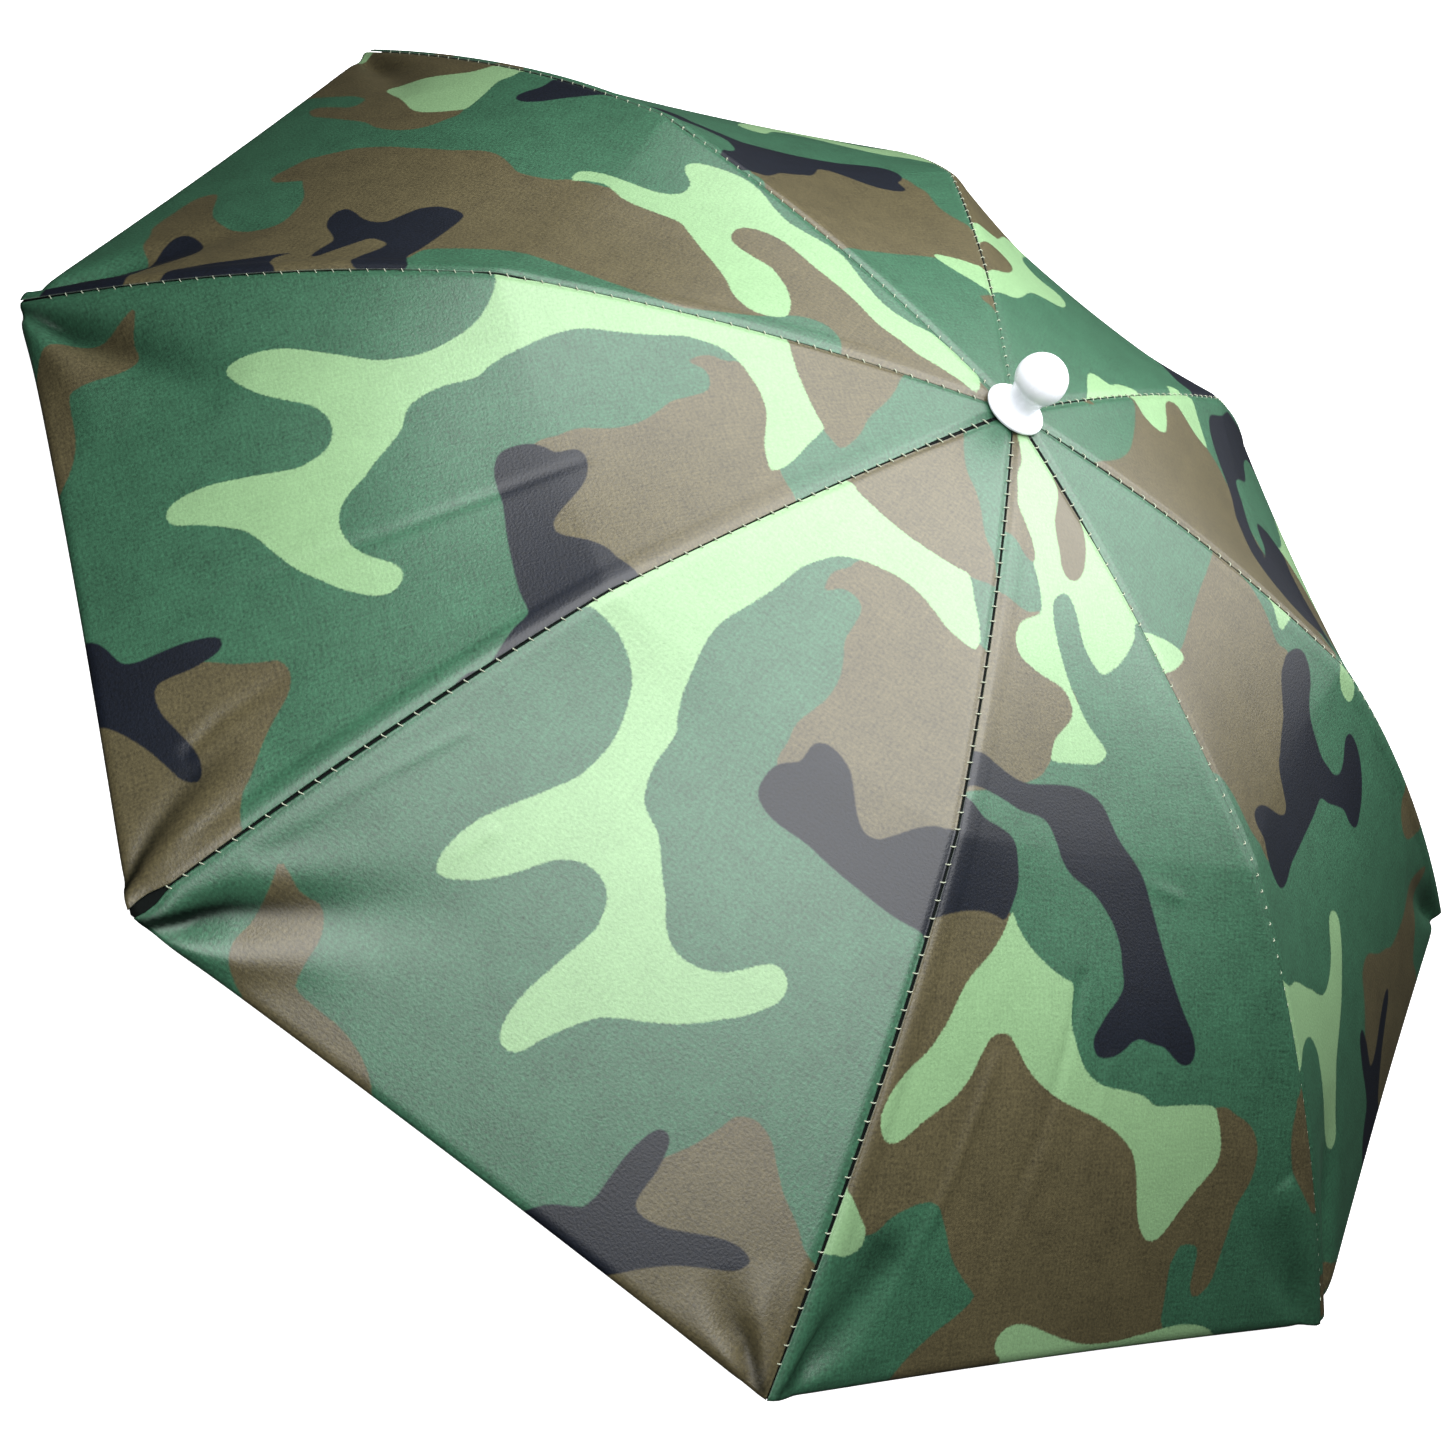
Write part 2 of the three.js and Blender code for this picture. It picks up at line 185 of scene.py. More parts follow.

# Folds and creases, as lines of points on the flat gore: millimetres across from its
# middle and down from the hub. A negative rise is a valley. Width counts at the line's
# end, and start is the share of it that the line has where it begins. The column after
# start is painted shade: how dark the fold's beginning is painted where the cloth closes
# over it, all of it from 1 up.
FOLD_COLUMNS = ("gore", "rise", "width", "start", "painted_shade_amount", "line")
FOLD_ROWS = [
    (7, -0.8, 7, 0.4, 1.6, [(120, 341), (111, 331), (101, 320), (88, 310), (77, 301), (66, 294)]),
    (7, -4.0, 15, 0.3, 0, [(120, 341), (100, 320), (72, 300), (34, 270)]),
    (7, 3.2, 11, 0.3, 0, [(117, 341), (106, 338), (89, 330), (73, 317), (54, 304)]),
    (7, -1.0, 10, 0.5, 0, [(106, 302), (90, 283), (77, 265)]),
    (7, -2.6, 7, 0.35, 0.9, [(-119, 338), (-112, 333), (-106, 329), (-100, 327), (-87, 317)]),
    (7, 1.5, 9, 0.3, 0, [(-120, 336), (-111, 326), (-98, 306)]),
    (7, 1.5, 8, 0.3, 0, [(-112, 339), (-100, 336), (-78, 330)]),
    (8, -7.0, 14, 0.25, 0.8,
     [(121, 340), (112, 331), (103, 322), (94, 312), (80, 298), (66, 282), (52, 270)]),
    (8, 4.5, 13, 0.3, 0, [(118, 340), (100, 333), (78, 324), (52, 310)]),
    (8, -1.6, 8, 0.35, 1.1,
     [(-117, 339), (-108, 332), (-101, 326), (-94, 317), (-89, 309), (-80, 294)]),
    (8, 2.4, 9, 0.6, 0, [(-116, 332), (-110, 321), (-103, 313), (-96, 302), (-84, 288)]),
    (8, -1.0, 3.2, 0.8, 0, [(-79, 314), (-71, 300), (-67, 285), (-63, 272)]),
    (6, -1.6, 3.4, 0.7, 0.8, [(120, 335), (113, 326), (107, 319), (102, 312), (100, 304)]),
    (6, -2.4, 9, 0.5, 0.6, [(116, 332), (106, 323), (98, 315), (91, 305), (84, 290)]),
    (6, -1.0, 10, 1.0, 0.55, [(86, 292), (97, 308), (107, 322), (117, 334)]),
    (6, 0.8, 9, 0.3, 0, [(112, 334), (94, 329), (79, 324), (63, 318)]),
    (6, -3.0, 12, 0.3, 0, [(-120, 338), (-106, 322), (-92, 306), (-74, 292)]),
    (6, 1.8, 9, 0.6, 0, [(-92, 280), (-104, 296), (-114, 316)]),
    (5, -5.0, 14, 0.3, 0, [(120, 338), (94, 305), (68, 270)]),
    (5, -5.0, 12, 0.3, 0, [(-120, 338), (-96, 310), (-70, 282)]),
    (1, -5.0, 14, 0.3, 0, [(-120, 338), (-90, 310), (-50, 275)]),
    (1, -5.0, 14, 0.3, 0, [(120, 338), (96, 312), (66, 286)]),
    (2, -5.0, 14, 0.3, 0, [(-120, 338), (-90, 310), (-52, 280)]),
    (3, -5.0, 14, 0.3, 0, [(120, 338), (94, 305), (62, 272)]),
    (4, -5.0, 14, 0.3, 0, [(-120, 338), (-90, 308), (-52, 274)]),
    (7, 0.5, 2.4, 0.8, 0, [(75, 230), (96, 275), (115, 320)]),
    (7, 0.4, 2.4, 0.8, 0, [(50, 250), (57, 270)]),
    (8, -0.5, 2.4, 0.8, 0, [(-10, 163), (-17, 196), (-23, 231), (-26, 282), (-27, 333)]),
    (6, -0.8, 2.4, 0.8, 0, [(8, 205), (18, 240), (26, 262), (46, 304)]),
    (6, 0.9, 2.8, 0.8, 0, [(46, 232), (63, 275), (72, 292), (86, 318), (100, 334)]),
    (6, 0.5, 2.4, 0.8, 0, [(-6, 232), (2, 262), (6, 300)]),
    (6, 0.5, 2.4, 0.8, 0, [(22, 262), (34, 300), (44, 330)]),
    (6, 0.5, 2.4, 0.8, 0, [(-38, 179), (-18, 173)]),
    (1, 1.2, 2.4, 0.8, 0, [(-3, 14), (10, 20)]),
]
FOLDS = [dict(zip(FOLD_COLUMNS, row)) for row in FOLD_ROWS]

# The camouflage print. The gores are cut from three places of the cloth, A to C, and each
# outline is charted on the flat gore, in the millimetres of the folds above. The cloth is
# dyed green, then printed brown, light green, brown again in places, and black.
SHAPE_COLUMNS = ("chart", "ink", "line")
SHAPE_ROWS = [
    ("A", "brown",
     [(14, 16), (10, 25), (7, 32), (1, 41), (-6, 47), (-11, 52.5), (-18, 62), (-25, 68),
      (-31, 77), (-27, 79.5), (-21, 81.5), (0, 88), (25, 88), (45, 80), (34, 55), (22, 25)]),
    ("A", "brown",
     [(-103, 97), (-85, 97), (-62, 100), (-40, 103), (-30, 100), (-11, 95), (5, 96), (11, 101.7),
      (12.3, 106.7), (15.2, 110.8), (15.5, 115), (14.3, 119), (12.7, 118.3), (10.2, 115.3),
      (6.8, 114.2), (2.7, 115), (0.2, 117.5), (-0.7, 123), (-1.5, 130), (-4.8, 136), (-7.8, 143),
      (-8.5, 151), (-7.3, 157.5), (-5.7, 165), (-7, 172), (-8.5, 180), (-20, 188), (-45, 188),
      (-70, 180), (-95, 160), (-103, 147), (-100, 140), (-104, 125)]),
    ("A", "brown",
     [(-107, 298), (-99, 293), (-89, 287.5), (-82, 282), (-76, 277), (-69, 275), (-63, 277.5),
      (-61, 283), (-57.5, 292), (-54, 298), (-50, 306), (-47, 318), (-48, 330), (-56, 346),
      (-134, 347), (-137, 330), (-148, 318), (-160, 312), (-172, 306), (-150, 298),
      (-125, 300)]),
    ("A", "brown",
     [(32, 340), (37, 335), (44, 331), (52.6, 328.7), (61, 328.3), (69, 327.5), (71, 325),
      (72, 318), (72.6, 311), (75, 306), (79, 302.5), (86, 303), (92.6, 300), (96.8, 299),
      (95, 305), (93.5, 312), (92.6, 320), (93.5, 327), (91, 333), (86, 337), (81, 340),
      (81, 346), (30, 346)]),
    ("A", "brown",
     [(-165, 250), (-150, 256), (-146, 266), (-152, 276), (-170, 280)]),
    ("A", "light",
     [(-37.8, 104), (-36.5, 106), (-26.5, 104.5), (-18, 101), (-11.5, 98.8), (-3, 98.2),
      (5, 99.7), (11.8, 102), (17.7, 106), (21.8, 112), (24.7, 118), (26.5, 127), (28.5, 135),
      (31, 143), (33.5, 151), (34, 157.5), (33, 165), (31, 173), (29, 180), (26, 187),
      (23.5, 191), (23, 196), (23, 203), (21.5, 210), (18.5, 216), (14.3, 219), (10, 221),
      (5, 226), (0, 232), (-5, 237), (-9, 242.5), (-14, 247), (-20, 248.8), (-26.6, 248),
      (-32.4, 245.3), (-36.5, 241.7), (-40.7, 236.7), (-44, 233.8), (-47.4, 233.3), (-50.7, 235),
      (-52.6, 238.3), (-52.4, 242.5), (-50, 246.7), (-45.7, 252.5), (-40, 258), (-32.4, 265),
      (-23, 271), (-15.7, 275), (-10, 279), (-5, 286), (-0.4, 294), (2.6, 301), (6, 303.5),
      (9.3, 303), (11.8, 299.7), (13, 293), (12.6, 285), (10.6, 275), (8.4, 265), (7, 258),
      (8, 252.5), (10, 247.5), (14.3, 244), (19.3, 243), (24.3, 244), (30, 248), (35, 255),
      (41, 263), (47.6, 269), (53.4, 272.5), (56.8, 272.7), (58.8, 269), (58.8, 262),
      (56.8, 253), (53.4, 246), (48.4, 237.5), (43.4, 229), (39.8, 222), (38, 212.5), (38, 205),
      (39.8, 197), (43.4, 188), (48.4, 182), (56, 177), (62.6, 175.5), (69, 175), (85, 175),
      (85, 70), (31, 77.3), (27.7, 78.7), (16.8, 80.7), (6.8, 81.7), (-3, 81.8), (-15, 81.2),
      (-20.7, 80.5), (-23.2, 82.5), (-28.2, 89), (-33.2, 95), (-36.5, 100)]),
    ("A", "light",
     [(-118, 112), (-112, 120), (-111, 127), (-106, 138), (-113, 139), (-125, 139),
      (-130, 120)]),
    ("A", "light",
     [(-135, 165), (-130, 170), (-125, 172.5), (-122.5, 178), (-124, 184), (-128, 185.5),
      (-134, 180), (-140, 170)]),
    ("A", "black",
     [(-64, 168.5), (-60.7, 169.5), (-56.6, 172.5), (-52.4, 177.5), (-49, 181.7), (-45.7, 182.8),
      (-42.4, 182), (-38.2, 178.7), (-34, 174), (-29, 169), (-24, 166.3), (-19, 165.2),
      (-15.7, 166), (-14, 168.3), (-14, 171.7), (-13.7, 175), (-10.7, 177.5), (-8.2, 181),
      (-7.6, 185), (-8.2, 190), (-10.7, 193.3), (-15.7, 195.5), (-20.7, 196.2), (-30.7, 196.2),
      (-40.7, 197.7), (-54, 199), (-67, 199.7), (-76, 199), (-79, 200.5), (-82, 205), (-88, 211),
      (-92, 216), (-92.5, 222), (-95, 227), (-99, 228.5), (-106, 226), (-112, 222), (-117, 216),
      (-120, 208), (-120, 201), (-118, 196), (-114, 195), (-110, 197.5), (-106, 201),
      (-100, 202.8), (-95, 200), (-93, 195), (-91.5, 189), (-92.5, 182), (-95, 174), (-100, 168),
      (-106, 164), (-110, 159), (-111.5, 153), (-108.5, 149), (-102, 147), (-97, 148),
      (-92, 150), (-85, 156), (-79.5, 161), (-73.5, 164), (-68, 166.5)]),
    ("A", "black",
     [(-93.2, 310.8), (-91.6, 308.8), (-86.6, 308.3), (-80.7, 310), (-72.4, 314), (-65, 317.5),
      (-58, 318.8), (-54, 317.5), (-53, 313), (-53, 305), (-51.6, 298), (-50, 295), (-47.7, 294),
      (-45.4, 295.3), (-43.6, 300), (-42.4, 308), (-42.4, 317), (-42.4, 322.5), (-40.7, 327.5),
      (-36.6, 330), (-31.6, 333), (-28.2, 336.7), (-26.6, 340), (-26, 346), (-56, 346),
      (-59, 340), (-63, 335), (-68, 330), (-75.7, 324), (-84, 319), (-90.7, 315)]),
    ("B", "brown",
     [(0, 8), (10, 18), (32, 50), (24, 52), (18.4, 56.7), (16, 61.7), (13, 64), (9, 62), (8, 50),
      (8, 35), (2, 20)]),
    ("B", "brown",
     [(14, 83), (20, 84), (27, 81), (38, 74), (50, 64), (58, 52), (64, 35), (70, 20), (130, 20),
      (130, 150), (50, 150), (34, 146), (29, 144), (24, 141.7), (20, 137.5), (14, 130), (5, 120),
      (3, 113), (10, 105), (22, 98), (22, 92)]),
    ("B", "brown",
     [(42, 188), (55, 187), (76, 189), (95, 215), (115, 265), (110, 285), (93.5, 288), (85, 283),
      (77, 280), (70, 279), (66, 281), (62, 288), (57.7, 298), (52, 305), (47, 310), (46, 312.5),
      (52, 317.5), (60, 322), (68.5, 328), (72.7, 332), (76, 337), (76, 346), (-40, 346),
      (-41.5, 328), (-41.5, 310), (-42.3, 306.7), (-44.8, 301.7), (-48, 301), (-52.3, 301.7),
      (-54, 305), (-53.2, 312), (-53.2, 317.5), (-55.7, 321), (-59.8, 319), (-63, 315),
      (-65, 307), (-67.3, 298), (-69.8, 288), (-74.8, 280), (-76.8, 272), (-76, 265), (-72, 259),
      (-65, 255), (-55, 252), (-30, 262), (0, 248), (25, 235), (35, 210)]),
    ("B", "brown",
     [(-94, 247), (-92.7, 253), (-92.3, 260), (-93.2, 268), (-95.7, 277), (-99.8, 283),
      (-104.8, 289), (-109.8, 293), (-130, 292), (-108, 235)]),
    ("B", "light",
     [(1.8, 10), (4.2, 21.7), (8.4, 28.3), (10.9, 36), (12.6, 41.7), (11.8, 48), (10.6, 55),
      (11, 62), (12.6, 64), (12.3, 72), (12.6, 78), (14.3, 83.3), (19.3, 85.8), (24.3, 88.3),
      (27.6, 92.5), (28.8, 96.7), (27.6, 101), (23.4, 104), (17.6, 106.7), (10.9, 109),
      (7.6, 111.7), (6, 116), (6.8, 120), (10.9, 124), (15, 127.5), (17.3, 131.7), (18.4, 135.3),
      (16, 136), (6, 135.5), (-2.4, 134.7), (-5.8, 133), (-8.2, 129.7), (-5, 126), (-0.7, 121),
      (2.6, 115), (6, 107), (8, 98), (8.8, 90), (8.4, 83), (6.8, 78), (3.4, 75), (0, 74.2),
      (-2, 76.7), (-3, 82), (-3.3, 90), (-5, 96), (-7.4, 100), (-10, 102.2), (-13.2, 101.3),
      (-19, 97.5), (-24, 92.5), (-28.3, 86.7), (-30.3, 81), (-40, 75), (-30, 40), (-12, 20),
      (-4, 8)]),
    ("B", "light",
     [(41.3, 187.5), (45, 194), (51, 201), (57, 206), (62, 211), (66, 217.5), (70, 224),
      (77, 232), (85, 237.5), (90, 242.5), (92.7, 246.7), (94.3, 251), (93.5, 256), (91, 258.8),
      (87.7, 259.7), (82.7, 258), (77, 254), (70, 250), (63.5, 246), (57.7, 240), (53.5, 233),
      (50, 228), (46, 226.2), (41.8, 226.7), (37.7, 231), (32.7, 237.5), (26.8, 242.5),
      (18.5, 247.5), (10, 251), (1.8, 254), (-6.5, 258), (-13, 262.5), (-18, 268), (-20.7, 277),
      (-22, 285), (-24, 292), (-27.3, 297), (-30.7, 298.8), (-34.8, 297.5), (-39, 293),
      (-44.8, 286), (-51.5, 279), (-56.5, 274), (-58.7, 269), (-58.2, 262.5), (-56, 256),
      (-54, 252), (-48, 251), (-36.5, 251), (-26.5, 251), (-21.5, 248), (-15, 246),
      (-6.5, 244.7), (0.2, 243), (6, 239), (10, 233), (12.7, 225), (13.2, 217), (13, 210),
      (18.5, 207.5), (27, 202.5), (34, 197), (39, 191)]),
    ("B", "light",
     [(-69, 336), (-63, 332.5), (-55, 331), (-46.5, 331), (-35, 332.5), (-21.5, 334),
      (-8, 333.7), (1.8, 331), (10, 328), (17, 325), (23.5, 323.3), (29.3, 324), (33, 327.5),
      (32.7, 332), (29.3, 336), (28, 346), (-80, 346)]),
    ("B", "light",
     [(103.5, 274), (98.5, 281), (95, 286), (95, 291), (98.5, 293.3), (102.7, 293.7),
      (107.7, 292.5), (120, 290), (110, 265)]),
    ("B", "over",
     [(-10, 25), (-8.8, 33), (-5.8, 40), (-3.3, 45), (-2, 52), (-1.6, 58), (-0.7, 63),
      (-1.6, 66.7), (-3.3, 68.3), (-6.6, 68), (-10, 65), (-12.4, 61), (-15, 54), (-16, 48),
      (-17, 42), (-24, 36), (-15, 20)]),
    ("B", "black",
     [(75, 135), (56, 138), (51, 139), (44, 142), (39, 144), (32.6, 145.3), (26, 145),
      (17.6, 144), (9, 143.7), (3.4, 144.7), (-1.6, 146.7), (-5, 150), (-7.4, 155), (-10.7, 161),
      (-16, 167), (-20, 172.5), (-23, 181), (-26.5, 192), (-30, 202), (-34, 212), (-38, 220),
      (-41.5, 226), (-43, 232), (-41.5, 236), (-38, 237), (-34, 235), (-29, 231), (-23, 229.5),
      (-18, 228), (-14, 229), (-10, 232), (-5, 234), (0.2, 234.3), (3, 232), (3.5, 228),
      (1, 224), (-3, 219), (-7, 215), (-10, 210), (-9.5, 203), (-9, 197), (-6.5, 190),
      (-2.3, 184), (2.7, 179), (8.5, 176), (13.5, 173), (17, 169), (19.5, 163), (22.6, 158),
      (27, 156), (36, 155), (44, 152.5), (52.6, 150.5), (60, 150), (64, 151)]),
    ("B", "black",
     [(59, 156.7), (54, 160), (47.6, 161.7), (41.8, 164), (39.3, 167.5), (38.4, 173),
      (38.3, 178), (40, 183), (42.7, 188), (45, 190.3), (49, 189), (55, 188), (63.5, 188.3),
      (72, 189.7), (85, 192), (99, 185), (99, 150), (75, 135), (66, 150)]),
    ("C", "brown",
     [(-6, 12), (-32, 58), (-25, 62), (-21, 64), (-17, 67), (-14.5, 73), (-16, 80), (-19.5, 85),
      (-26, 91), (-30, 95), (-36, 103), (-43, 113), (-46, 120), (-47.5, 133), (-48, 150),
      (-48, 170), (-48.5, 180), (-51, 188), (-57, 200), (-63, 208), (-75, 210), (-100, 222),
      (-130, 290), (-125, 300), (-100, 305), (-87, 310), (-79, 317), (-70, 320), (-62, 324),
      (-49, 324), (-36, 323), (-31, 317), (-36, 313), (-46, 308), (-54, 302), (-60.5, 292),
      (-63, 283), (-62, 277), (-59, 273), (-54, 271), (-45.5, 272), (-37, 274), (-29, 278),
      (-19, 285), (-9, 290), (-3, 293), (1, 294), (8, 288), (13, 282), (16, 273), (17, 263),
      (18.5, 253), (19.5, 243), (22, 235), (23.5, 228), (22, 222), (18, 216), (13.5, 210),
      (13.5, 202), (15, 195), (18, 188), (20, 160), (30, 120), (26, 95), (12, 62), (6, 40),
      (3, 16)]),
    ("C", "light",
     [(-3.6, 15), (7.3, 18), (10.6, 25), (13, 33), (13.9, 40), (12.8, 48), (13.6, 57),
      (16.4, 64), (21.4, 72), (27.3, 80), (30.6, 85), (32.6, 93), (33.6, 102), (35.6, 110),
      (40.6, 118), (46.4, 126), (49.4, 133), (50.3, 142), (50, 148), (49, 153), (46, 156.3),
      (42, 155), (39, 152), (35, 149.7), (30.6, 149.7), (27.3, 152), (25.3, 157), (25, 164),
      (25.6, 172), (26.4, 180), (26, 186), (24, 190), (19.8, 190.5), (17.3, 189), (19.4, 184),
      (20, 178), (17.3, 173), (14.4, 167.5), (12.8, 160), (12.3, 152), (11.4, 143), (7.3, 137.5),
      (0.6, 130), (-7, 121), (-15, 112.5), (-22, 107), (-26, 101), (-27.3, 96), (-26, 91),
      (-22.8, 87), (-18.6, 86), (-12, 88), (-5.3, 92), (-0.3, 97), (4, 102.5), (6, 110),
      (7.8, 116), (10.6, 121), (14.8, 123.3), (19.8, 122.8), (22.8, 119), (23.6, 113), (23, 107),
      (20.6, 100), (16.4, 91), (13, 82), (9, 72), (4.8, 64), (1.4, 57), (-0.3, 48), (-2.3, 40),
      (-2.3, 32), (-2.8, 23)]),
    ("C", "black",
     [(-70.6, 210), (-62, 209.5), (-45.6, 209.7), (-30.6, 210.3), (-26.4, 213), (-25.2, 218),
      (-26, 223), (-30.6, 228), (-39, 231), (-45, 233), (-47.3, 237.5), (-45.6, 243),
      (-41.4, 249), (-39.8, 253), (-43, 255.5), (-50.6, 254.5), (-57, 251), (-62, 246),
      (-67, 242.5), (-74, 243), (-80.6, 243), (-81.4, 241), (-75.6, 238), (-67, 234),
      (-61.4, 231), (-61, 227.5), (-63, 223), (-67, 222.5), (-72, 224), (-79, 226), (-86, 223),
      (-90, 208), (-80.6, 205), (-75.6, 207.5)]),
    ("C", "black",
     [(-80.6, 252), (-85.6, 255), (-90.6, 254), (-100, 250), (-120, 285), (-107, 288),
      (-102, 287), (-95.6, 280), (-89, 267)]),
    ("C", "black",
     [(-83, 291), (-75.6, 293), (-70.6, 298), (-68, 304), (-70, 308), (-77, 309), (-87, 308),
      (-95.6, 307.5), (-102, 312), (-107, 318), (-110.6, 325), (-114, 330), (-135, 330),
      (-120, 303), (-104, 302.5), (-97, 299), (-90.6, 295)]),
]
SHAPES = [dict(zip(SHAPE_COLUMNS, row)) for row in SHAPE_ROWS]

# Where each gore is cut from its chart: a shift, and beyond the hinge a lean across and
# a stretch down for each millimetre.
CUT_COLUMNS = ("gore", "chart", "across", "down", "hinge", "lean", "stretch")
CUT_ROWS = [
    (1, "C", 0, 0, 0, 0, 0),
    (1, "B", -110, 4.5, 0, 0, -0.03),
    (2, "A", -51, 10, 0, 0, 0),
    (3, "B", -57, 4, 119, 0, -0.25),
    (3, "C", 53, 0, 0, 0, 0),
    (4, "B", 49, 0, 95, 0, -0.17),
    (5, "A", -61, 0, 195, -0.07, 0.085),
    (6, "B", 0, 0, 0, 0, 0),
    (7, "A", 0, 0, 0, 0, 0),
    (8, "A", -14.65, 0, 0, 0.035, 0),
]
CUTS = [dict(zip(CUT_COLUMNS, row)) for row in CUT_ROWS]
INKS = ("brown", "light", "over", "black")
PRINT_REACH = 8

# How far each seam's two cloths stand apart, as pairs of a distance down from the crown
# and a width. They are pulled open by the ribs, and part altogether at rib 8's end.
GROOVES = [
    [(0, 0.6), (176, 0.6), (182, 1.6), (194, 1.4), (202, 0.5), (340, 0.6), (360, 1.4)],
    [(0, 0.6), (172, 0.5), (178, 1.3), (186, 1.2), (194, 0.5), (340, 0.6), (360, 1.2)],
    [(0, 0.4), (72, 0.5), (84, 1.2), (160, 1.3), (190, 0.6), (360, 1.0)],
    [(0, 0.5), (32, 1.0), (92, 0.9), (132, 0.6), (360, 1.0)],
    [(0, 0.5), (32, 1.5), (172, 1.6), (200, 0.8), (340, 0.6), (360, 1.2)],
    [(0, 2.2), (42, 2.0), (57, 1.0), (176, 0.9), (190, 0.4), (340, 0.5), (360, 1.4)],
    [(0, 0.6), (22, 1.2), (237, 1.4), (335, 1.3), (350, 0.8), (366, 0.6)],
    [
        (0, 1.8), (42, 1.6), (50, 0.9), (176, 0.8), (184, 1.2), (262, 1.5), (300, 1.6),
        (350, 0.9), (354, 2.8), (358, 4.8), (362, 5.0), (366, 3.6),
    ],
]


def arch(share):
    return 4 * share * (1 - share)


def lerp(start, end, share):
    return start + (end - start) * share


def rib_number(number):
    return (number - 1) % GORES + 1


def rib_of(number):
    return RIBS[rib_number(number) - 1]


def seam_profile(rib, down):
    """Radius and height of the cloth over a rib. Down is 1 at its knee and 2 at its tip."""
    share = np.maximum(down - 1, 0)
    below_knee = lerp(rib["knee_radius"], rib["tip_radius"], share)
    radius = np.where(down <= 1, rib["knee_radius"] * down, below_knee)
    height = np.where(
        down <= 1,
        lerp(CROWN_HEIGHT, rib["knee_height"], down) + UPPER_ARCH * arch(down),
        lerp(rib["knee_height"], CORNER_HEIGHT, share) + LOWER_ARCH * arch(share),
    )
    return np.stack([radius, height], -1)


def seam_line(number, down, depth):
    """Points along a seam, sunk by depth square to its slope."""
    rib = rib_of(number)
    down = np.asarray(down, float)
    after, before = np.minimum(down + SLOPE_REACH, 2), np.maximum(down - SLOPE_REACH, 0)
    slope = seam_profile(rib, after) - seam_profile(rib, before)
    slope /= np.linalg.norm(slope, axis=-1, keepdims=True)
    sunk = np.broadcast_to(depth, down.shape)[..., None]
    profile = seam_profile(rib, down) + np.stack([slope[..., 1], -slope[..., 0]], -1) * sunk
    even = FIRST_RIB_ANGLE - ((number - 1) % GORES) * SECTOR
    swing = lerp(rib["knee_turn"], rib["tip_turn"], np.maximum(down - 1, 0))
    angle = np.radians(even + swing)
    radius, height = profile[..., 0], profile[..., 1]
    return np.stack([radius * np.cos(angle), radius * np.sin(angle), height], -1)


def unit(vectors):
    return vectors / np.linalg.norm(vectors, axis=-1, keepdims=True)


def gore_normals(gore, down):
    """Which way is out from the flat sheet between a gore's two seams."""
    before, after = np.maximum(down - NORMAL_REACH, 0), np.minimum(down + NORMAL_REACH, 2)
    left, right_side = [seam_line(seam, down, 0.0) for seam in (gore, gore + 1)]
    along = 0
    for seam in (gore, gore + 1):
        along = along + seam_line(seam, after, 0.0) - seam_line(seam, before, 0.0)
    return unit(np.cross(along, left - right_side))


def sag_at(down):
    """How far the middle of a gore lies below a flat sheet between its two seams."""
    at_knees = np.exp(-(((down - 1) / SAG_SPREAD) ** 2))
    below = np.sin(np.pi * np.clip((down - LOWER_SAG_START) / (2 - LOWER_SAG_START), 0, 1))
    return SAG_AT_KNEES * at_knees + SAG_BELOW_KNEES * below


def lengths_along(points):
    """Length along a line of points, from its first to each."""
    steps = np.linalg.norm(np.diff(points, axis=0), axis=1)
    return np.concatenate([[0], np.cumsum(steps)])


def seam_distance(number, down):
    """Length along a seam from the crown to each place."""
    fine = np.linspace(0.001, 2, 400)
    return np.interp(down, fine, lengths_along(seam_line(number, fine, 0.0)))


def half_groove(number, down):
    """Half the width between a seam's two cloths."""
    places, widths = zip(*GROOVES[rib_number(number) - 1])
    return np.interp(seam_distance(number, down), places, widths) / 2


def taut_cloth(gore, down, across, depth):
    """The gore's face without folds, as rows down by columns across."""
    left = seam_line(gore, down, depth)
    right_side = seam_line(gore + 1, down, depth)
    width = np.linalg.norm(right_side - left, axis=-1)
    first, last = half_groove(gore, down) / width, 1 - half_groove(gore + 1, down) / width
    share = lerp(first[:, None], last[:, None], across[None, :])[..., None]
    belly = np.sin(np.pi * across)[None, :, None]
    middle = (left + right_side) / 2
    outward = unit(middle * [1, 1, 0])
    hem = HEM_HOLLOW * np.clip((down - HEM_HOLLOW_START) / (2 - HEM_HOLLOW_START), 0, 1) ** 2
    cloth = left[:, None] * (1 - share) + right_side[:, None] * share
    cloth = cloth - (gore_normals(gore, down) * sag_at(down)[:, None])[:, None] * belly
    return cloth - (outward * hem[:, None])[:, None] * belly


def rolled_cloth(gore, down, across, depth):
    """The taut cloth, eased over the knees between its seams."""
    taut = taut_cloth(gore, down, across, depth)
    room = np.minimum(1, np.minimum(down - down[0], 2 - down) / KNEE_ROLL)
    eased = np.zeros(taut.shape)
    total = 0
    for offset in np.linspace(-1, 1, KNEE_ROLL_STEPS):
        weight = np.exp(-((offset / KNEE_ROLL_SPREAD) ** 2))
        eased += weight * taut_cloth(gore, down + offset * KNEE_ROLL * room, across, depth)
        total += weight
    share = np.sin(np.pi * across) ** KNEE_ROLL_WIDTH
    return lerp(taut, eased / total, share[None, :, None])


